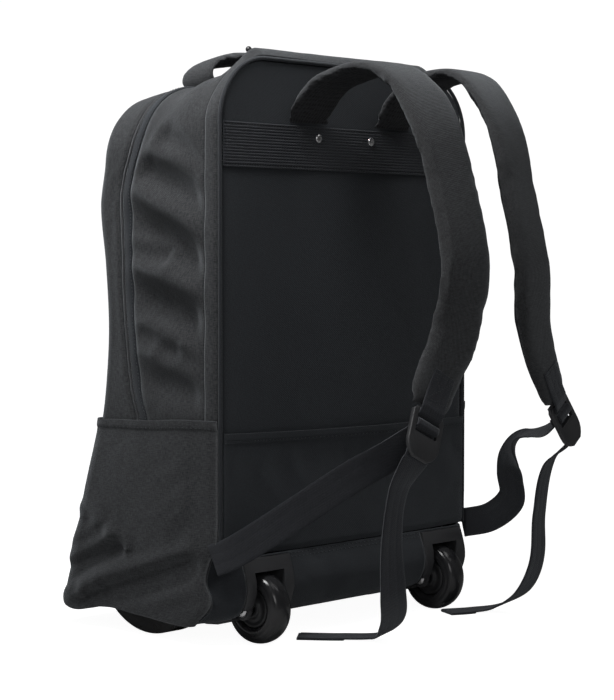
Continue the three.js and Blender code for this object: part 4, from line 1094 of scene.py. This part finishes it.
def rod_through(bm, places, radius, sides=10):
    """A round rod along a line of places, closed at both ends."""
    ring = bmesh.ops.create_circle(bm, cap_ends=True, segments=sides, radius=radius)["verts"]
    way = (places[1] - places[0]).to_track_quat("Z", "X").to_matrix().to_4x4()
    bmesh.ops.transform(bm, matrix=Matrix.Translation(places[0]) @ way, verts=ring)
    end = list({f for v in ring for f in v.link_faces})
    for before, after in zip(places, places[1:]):
        made = bmesh.ops.extrude_face_region(bm, geom=end)["geom"]
        if before != places[0]:
            bmesh.ops.delete(bm, geom=end, context="FACES_ONLY")
        moved = [g for g in made if isinstance(g, bmesh.types.BMVert)]
        bmesh.ops.translate(bm, verts=moved, vec=after - before)
        end = [g for g in made if isinstance(g, bmesh.types.BMFace)]
    bmesh.ops.recalc_face_normals(bm, faces=bm.faces)


bm = bmesh.new()
rod_through(bm, PULLER_PLACES, PULLER_RADIUS)
keep(bm, "zip_puller", [PULLER])
bm = bmesh.new()
bmesh.ops.create_uvsphere(
    bm, u_segments=24, v_segments=14, radius=BALL_RADIUS,
    matrix=Matrix.Translation(PULLER_PLACES[-1] + Vector((0, 0, 0.0008))),
)
keep(bm, "zip_puller_ball", [BALL])
slider_place = Matrix.Translation(spot(-71, 91, 484.6)) @ Matrix.Rotation(-0.35, 4, "X")
bm = bmesh.new()
bmesh.ops.create_cube(bm, size=1, matrix=slider_place @ Matrix.Diagonal((0.010, 0.007, 0.0024, 1)))
bmesh.ops.bevel(
    bm, geom=bm.edges[:], offset=0.0009, offset_type="OFFSET", segments=3, profile=0.5,
    affect="EDGES", material=-1,
)
keep(bm, "zip_slider", [METAL])

# Carrying straps: foam pads in melange cloth with a black mesh lining on the inner face. Each
# leaves the back panel over its rivet, arches up and over, and narrows to its buckle.
# Rows: share along, then x, y, z, turn of the width (x, y, z), width and thickness in mm.
HALF_WIDTH, REACH, STRAP_LENGTH, STRAP_WIDTH, STRAP_THICKNESS = WIDTH / 2, 166.0, 446.0, 62, 10
STRAP_END = 1 - (21 + 1.4) / STRAP_LENGTH
STRAP_SHARES = [
    (0.0, 0.345, 0.018, 0.8775, 0, 0, 0.94, 0.35), (0.055, 0.345, 0.084, 0.917, 0, 0, 0.95, 0.7),
    (0.115, 0.34, 0.21, 0.948, 0, 0, 0.96, 1), (0.24, 0.315, 0.54, 0.962, 0.05, 0, 1, 1),
    (0.365, 0.291, 0.783, 0.888, 0.1, 0, 1, 1), (0.515, 0.273, 0.916, 0.764, 0.13, 0, 1, 1),
    (0.66, 0.273, 1.0, 0.64, 0.13, 0, 1, 1), (0.79, 0.333, 0.982, 0.528, 0.13, 0.05, 0.96, 1),
    (0.916, 0.485, 0.965, 0.429, 0.15, 0.2, 0.78, 1), (1.0, 0.594, 1.0, 0.366, 0.16, 0.33, 0.62, 0.6),
]


def strap_course(side):
    return [
        (
            at, side * x * HALF_WIDTH, -back * REACH, up * HEIGHT, 1, side * splay, side * droop,
            wide * STRAP_WIDTH, pad * STRAP_THICKNESS,
        )
        for at, x, back, up, splay, droop, wide, pad in STRAP_SHARES
    ]


def columns_at(rows, at):
    return [through([(row[0], row[k]) for row in rows], at) for k in range(1, len(rows[0]))]


def course_at(rows, at):
    """Centre, along, across and out of a course, and its further columns, in millimetres."""
    values = columns_at(rows, at)
    low = min(max(at - 0.003, 0), 0.994)
    along = (Vector(columns_at(rows, low + 0.006)[:3]) - Vector(columns_at(rows, low)[:3])).normalized()
    across = Vector(values[3:6])
    across = (across - along * across.dot(along)).normalized()
    return Vector(values[:3]), along, across, along.cross(across).normalized(), values[6:]


class Course:
    """A course whose places are worked out once, and read between them."""

    def __init__(self, rows, steps=400):
        self.steps = steps
        self.places = [course_at(rows, i / steps) for i in range(steps + 1)]

    def at(self, share):
        i = min(int(share * self.steps), self.steps - 1)
        t = share * self.steps - i
        one, two = self.places[i], self.places[i + 1]
        centre, along, across, out = (a.lerp(b, t) for a, b in zip(one[:4], two[:4]))
        more = [mix(a, b, t) for a, b in zip(one[4], two[4])]
        return centre, along.normalized(), across.normalized(), out.normalized(), more


def from_mm(point):
    return spot(point.x, point.y, point.z)


def swell(piece, voxel, cap, pressure):
    """Fills a padded piece out with a short cloth simulation on an even voxel remesh, and caps how far each
    point moves.
    """
    remesh = piece.modifiers.new("even", "REMESH")
    remesh.mode = "VOXEL"
    remesh.voxel_size = voxel
    settle(piece)
    starts = [v.co.copy() for v in piece.data.vertices]
    pad = piece.modifiers.new("pad", "CLOTH")
    pad.settings.use_pressure = True
    pad.settings.uniform_pressure_force = pressure
    pad.settings.effector_weights.gravity = 0
    pad.settings.quality = 6
    for step in range(1, 21):
        bpy.context.scene.frame_set(step)
    settle(piece)
    bpy.context.scene.frame_set(1)
    for vert, start in zip(piece.data.vertices, starts):
        move = vert.co - start
        if move.length > cap:
            vert.co = start + move.normalized() * cap


def settle(piece):
    """Applies what the piece's modifiers make of it."""
    bpy.context.view_layer.update()
    state = bpy.context.evaluated_depsgraph_get()
    shaped = bpy.data.meshes.new_from_object(piece.evaluated_get(state), depsgraph=state)
    piece.modifiers.clear()
    old = piece.data
    piece.data = shaped
    bpy.data.meshes.remove(old)


def spacer_mesh():
    """Open black mesh lining: small holes in rows over a dark ground."""
    material = bpy.data.materials.new("spacer_mesh")
    material.use_nodes = True
    tree = material.node_tree
    shader = tree.nodes["Principled BSDF"]
    source = tree.nodes.new("ShaderNodeTexCoord")
    cells = tree.nodes.new("ShaderNodeTexVoronoi")
    cells.inputs["Scale"].default_value = 300.0
    cells.inputs["Randomness"].default_value = 0.35
    tree.links.new(source.outputs["Object"], cells.inputs["Vector"])
    thread = maths(tree, "SMOOTH_MIN", maths(tree, "MULTIPLY", cells.outputs["Distance"], 1.6), 1.0, 0.1)
    colour = mixed(tree, thread, (0.002, 0.002, 0.003, 1), (0.014, 0.0145, 0.017, 1))
    tree.links.new(colour, shader.inputs["Base Color"])
    tree.links.new(maths(tree, "MULTIPLY_ADD", thread, -0.2, 0.85), shader.inputs["Roughness"])
    bump = tree.nodes.new("ShaderNodeBump")
    bump.inputs["Distance"].default_value = 0.0008
    bump.inputs["Strength"].default_value = 0.9
    tree.links.new(thread, bump.inputs["Height"])
    tree.links.new(bump.outputs[0], shader.inputs["Normal"])
    return material


SPACER = spacer_mesh()
STRAP_CLOTH = cloth(
    "strap_cloth", (0.013, 0.0135, 0.0145), (0.046, 0.0470, 0.0495), streaks=0.5, mapped=False
)


def pad_ring(angle, half_width, half_thick, squareness=3.2):
    """A point of a rounded flat section: how far across and how far out."""
    c, s = math.cos(angle), math.sin(angle)
    power = 2 / squareness
    return half_width * math.copysign(abs(c) ** power, c), half_thick * math.copysign(abs(s) ** power, s)


def line_inner_face(piece, course, inner_out, reach):
    """Gives the faces that look inwards, within a share of the width, the second material."""
    tree = KDTree(len(course.places))
    for i, place in enumerate(course.places):
        tree.insert(from_mm(place[0]), i)
    tree.balance()
    for face in piece.data.polygons:
        _, i, _ = tree.find(face.center)
        centre, along, across, out, more = course.places[i]
        offset = (face.center - from_mm(centre)) * 1000
        is_inner = face.normal.dot(out) < -inner_out and abs(offset.dot(across)) < more[0] * reach
        face.material_index = 1 if is_inner else 0


END_TUCK = 3.5


def padded_strap(name, course, end, around, along_steps, stands_for, cap, pressure, shrink, crease):
    def place(u, v):
        centre, along, across, out, (width, thick) = course.at(v * end)
        end_round = min(1.0, math.sqrt(max(1 - (1 - min((1 - v) * 26, 1)) ** 2, 0.02)))
        sideways, up = pad_ring(2 * math.pi * u, width / 2 - shrink, (thick / 2 - shrink * 0.6) * end_round)
        tuck = END_TUCK if v == 1 else -END_TUCK if v == 0 else 0
        return from_mm(centre + along * tuck + across * sideways + out * up)

    piece = ring_tube(name, around, along_steps, place, (0.14, 0.45), [STRAP_CLOTH, SPACER], stands_for)
    swell(piece, 0.004, cap, pressure)
    smooth = piece.modifiers.new("smooth", "SUBSURF")
    smooth.levels = smooth.render_levels = 1
    settle(piece)
    for vert in piece.data.vertices:
        p = vert.co * 1000
        vert.co += vert.normal * crumple(p.x, p.y, p.z, 34, crease) / 1000
    line_inner_face(piece, course, 0.35, 0.44)
    piece.data.shade_smooth()


STRIP_RIBS = 3


def strip(name, course, start, end, steps, width, out_at, thickness, stands_for=(), length=0.3):
    """Flat webbing along a course, with fine ribs along it and rounded edges."""

    def place(u, v):
        centre, along, across, out, more = course.at(mix(start, end, u))
        sideways = (v - 0.5) * width
        from_rib = v * STRIP_RIBS % 1
        groove = 0.16 * math.exp(-((min(from_rib, 1 - from_rib) / 0.12) ** 2))
        selvedge = 0.25 * math.exp(-((min(v, 1 - v) * width / 1.0) ** 2))
        return from_mm(centre + across * sideways + out * (out_at(u) - selvedge - groove))

    bm = laid(steps, 24, place, (length, width / 1000))
    piece = keep(bm, name, [WEBBING], stands_for=stands_for)
    wall = piece.modifiers.new("wall", "SOLIDIFY")
    wall.thickness = thickness / 1000
    wall.offset = 0
    edge = piece.modifiers.new("edge", "BEVEL")
    edge.width, edge.segments, edge.limit_method = 0.0004, 2, "ANGLE"
    edge.angle_limit = math.radians(50)


BUCKLE_LENGTH, BUCKLE_THICKNESS, BUCKLE_BAR = 42.0, 4.0, 5.0
WEBBING_WIDTH, WEBBING_THICKNESS, TAIL_WIDTH, TAIL_END = 27.0, 1.5, 24.0, 28.0
SEAT_REACH = {1: 0.45, 2: -0.08}
LOWER_ROWS = {
    "left": [
        (0.22, 0.645, 0.81, 0.33, 0.6, -0.3, -0.65), (0.36, 0.71, 0.65, 0.298, 0.4, -0.38, -0.83),
        (0.66, 0.85, 0.3, 0.217, 0.3, -0.4, -0.86), (0.88, 0.972, 0.08, 0.165, 0.15, -0.35, -0.9),
        (1.0, 1.02, -0.03, 0.148, 0.0, -0.3, -0.95),
    ],
    "right": [
        (0.15, 0.612, 0.9, 0.356, 0.92, 0.2, 0.46), (0.27, 0.7, 0.75, 0.344, 0.93, 0.3, 0.2),
        (0.38, 0.75, 0.58, 0.326, 0.8, 0.6, 0.0), (0.5, 0.83, 0.46, 0.286, 0.3, 0.95, 0.1),
        (0.6, 0.91, 0.4, 0.25, -0.3, 0.9, 0.4), (0.72, 0.99, 0.35, 0.205, -0.4, 0.4, 0.83),
        (0.86, 1.035, 0.17, 0.165, -0.1, 0.1, 1.0), (1.0, 1.02, -0.03, 0.148, 0.0, 0.0, 1.0),
    ],
}
TAIL_ROWS = {
    "left": [
        (0.2, 0.61, 0.855, 0.275, 1.0, 0.05, -0.15), (0.38, 0.585, 0.79, 0.19, 1.0, -0.04, 0.0),
        (0.59, 0.49, 0.72, 0.1, 0.96, -0.25, 0.0), (0.72, 0.35, 0.6, 0.045, 1.0, -0.1, 0.0),
        (0.82, 0.25, 0.43, 0.01, 0.9, 0.4, 0.0), (0.91, 0.34, 0.24, 0.0035, 0.78, 0.62, 0.0),
        (1.0, 0.48, 0.06, 0.0035, 0.74, 0.67, 0.0),
    ],
    "right": [
        (0.2, 0.67, 0.84, 0.29, 1.0, 0.16, 0.2), (0.38, 0.68, 0.77, 0.2, 1.0, 0.17, 0.0),
        (0.57, 0.74, 0.71, 0.112, 1.0, 0.1, 0.0), (0.7, 0.82, 0.56, 0.048, 0.9, 0.05, 0.0),
        (0.81, 0.86, 0.36, 0.012, 0.9, 0.35, 0.0), (0.9, 0.77, 0.25, 0.0035, 0.7, 0.7, 0.0),
        (1.0, 0.62, 0.18, 0.0035, 0.6, 0.8, 0.0),
    ],
}


def webbing_course(side, rows, buckle, layers):
    centre, along, across, out, more = buckle
    under = BUCKLE_THICKNESS / 2 + layers * 0.35 + (layers - 0.5) * WEBBING_THICKNESS
    seated = []
    for share in (0, 0.5, 0.97, 1):
        down = mix(-BUCKLE_LENGTH / 4, BUCKLE_LENGTH * SEAT_REACH[layers], share)
        place = centre + along * down - out * under
        seated.append((share * rows[0][0] * 0.5, *place, *across))
    return seated + [
        (at, side * x * HALF_WIDTH, -back * REACH, up * HEIGHT, *turn) for at, x, back, up, *turn in rows
    ]


for side_name, side in (("left", -1), ("right", 1)):
    rows = strap_course(side)
    course = Course(rows)
    padded_strap(
        f"shoulder_strap_{side_name}_pad", course, STRAP_END, 48, 160,
        [f"shoulder_strap_{side_name}"], 0.0022, 4.0, 0.9, 0.7,
    )
    buckle = course_at(rows, 1)
    moulded_copy(f"ladder_lock_{side_name}", f"ladder_lock_{side_name}_frame", LOCK, 0.6)

    patch_to = 1 - (BUCKLE_LENGTH / 2 - BUCKLE_BAR) / STRAP_LENGTH
    patch_from = patch_to - 40 / STRAP_LENGTH
    end_pad = course.at(STRAP_END)[4][1] / 2

    def over_pad(u):
        at = mix(patch_from, patch_to, u)
        if at < STRAP_END:
            height = course.at(at)[4][1] / 2
        else:
            height = mix(end_pad, BUCKLE_THICKNESS / 2, (at - STRAP_END) / (patch_to - STRAP_END))
        return height + 0.7 + WEBBING_THICKNESS / 2

    strip(
        f"strap_patch_{side_name}_webbing", course, patch_from, patch_to, 40, WEBBING_WIDTH * 0.9,
        over_pad, WEBBING_THICKNESS, [f"strap_patch_{side_name}"], length=0.04,
    )
    lower = Course(webbing_course(side, LOWER_ROWS[side_name], buckle, 2))
    strip(
        f"lower_webbing_{side_name}_web", lower, 0.0, 0.995, 180, WEBBING_WIDTH,
        lambda u: 0.0, WEBBING_THICKNESS, [f"lower_webbing_{side_name}"],
    )
    tail = Course(webbing_course(side, TAIL_ROWS[side_name], buckle, 1))
    strip(
        f"strap_tail_{side_name}_web", tail, 0.0, 0.995, 200, TAIL_WIDTH,
        lambda u: 0.0, WEBBING_THICKNESS, [f"strap_tail_{side_name}"],
    )
    fold_start = 1 - TAIL_END / 280
    strip(
        f"strap_tail_{side_name}_fold", tail, fold_start, 1.0, 30, TAIL_WIDTH - 0.6,
        lambda u: 0.55, 1.7 * WEBBING_THICKNESS - 0.4, length=0.028,
    )

    def across_course(way, at, half, over):
        def line(t):
            centre, along, across, out, more = way.at(at)
            return from_mm(centre + across * mix(-half, half, t) + out * over)

        return line

    def slanting(way, start, end, half, over):
        def line(t):
            centre, along, across, out, more = way.at(mix(start, end, t))
            return from_mm(centre + across * mix(-half, half, t) + out * over(t))

        return line

    stitches(
        f"strap_tail_{side_name}_stitches",
        [(across_course(tail, fold_start + k, 10.5, 1.65), 21) for k in (0.006, 0.012, 0.05, 0.056)],
        2.6,
    )
    def over_patch(t):
        return over_pad(mix(0.09, 0.66, t)) + 0.8

    cross_from, cross_to, cross_half = patch_from + 0.008, patch_to - 0.03, 10.3
    patch_rows = [
        (slanting(course, cross_from, cross_to, cross_half, over_patch), 33),
        (slanting(course, cross_to, cross_from, cross_half, lambda t: over_patch(1 - t)), 33),
        (across_course(course, cross_from, cross_half, over_pad(0.09) + 0.8), 21),
        (across_course(course, cross_to, cross_half, over_pad(0.66) + 0.8), 21),
    ]
    stitches(f"strap_patch_{side_name}_stitches", patch_rows, 2.6)

    # Webbing round the bars of the buckle: one turn over the middle bar, and the patch's end
    # round the top bar.
    def looped(name, path, width):
        centre, along, across, out, more = buckle
        down = [(i / (len(path) - 1), a) for i, (a, o) in enumerate(path)]
        over = [(i / (len(path) - 1), o) for i, (a, o) in enumerate(path)]

        def place(u, v):
            from_rib = v * STRIP_RIBS % 1
            rib = 0.15 * math.exp(-((min(from_rib, 1 - from_rib) / 0.12) ** 2))
            lengthways = centre + along * through(down, u) + across * (v - 0.5) * width
            return from_mm(lengthways + out * (through(over, u) - rib))

        bm = laid(36, 20, place, (0.03, width / 1000))
        piece = keep(bm, name, [WEBBING])
        wall = piece.modifiers.new("wall", "SOLIDIFY")
        wall.thickness, wall.offset = 0.0013, 0

    looped(
        f"ladder_lock_{side_name}_turn",
        [
            (-11.5, -3.2), (-11.5, -0.5), (-11.3, 1.9), (-10, 3.1), (-8, 3.3), (-6, 3.1), (-4.7, 1.9),
            (-4.5, -0.5), (-4.5, -3.2),
        ],
        TAIL_WIDTH - 0.5,
    )
    looped(
        f"strap_patch_{side_name}_turn",
        [
            (-20, 3.3), (-18, 3.2), (-16.2, 2.8), (-15.1, 1.5), (-15.0, -1.0), (-15.6, -2.6), (-17.5, -3.1),
            (-21, -3.1),
        ],
        WEBBING_WIDTH * 0.88,
    )

# Grab handle: a padded loop of melange cloth lined with black mesh, sewn across the sloping top.
HANDLE_Y, HANDLE_WIDTH, HANDLE_THICKNESS, HANDLE_SPAN, HANDLE_RISE = 106.0, 43.0, 7.0, 160.0, 34.0
handle_base = HEIGHT - fall_at(HANDLE_Y)
handle_back, handle_front = HANDLE_Y - HANDLE_WIDTH / 2, HANDLE_Y + HANDLE_WIDTH / 2
handle_slope = (fall_at(handle_front) - fall_at(handle_back)) / HANDLE_WIDTH
HANDLE_SHARES = [
    (0.0, -0.5, 0.12), (0.1, -0.525, 0.4), (0.2, -0.45, 0.7), (0.35, -0.27, 0.92), (0.5, 0.0, 1.0),
    (0.65, 0.27, 0.92), (0.8, 0.45, 0.7), (0.9, 0.525, 0.4), (1.0, 0.5, 0.12),
]
handle_course = Course([
    (
        at, x * HANDLE_SPAN, HANDLE_Y, handle_base + z * HANDLE_RISE,
        0, 1, -handle_slope, HANDLE_WIDTH, HANDLE_THICKNESS,
    )
    for at, x, z in HANDLE_SHARES
])
padded_strap("grab_handle_pad", handle_course, 1.0, 40, 90, ["grab_handle"], 0.0018, 4.0, 0.7, 0.6)
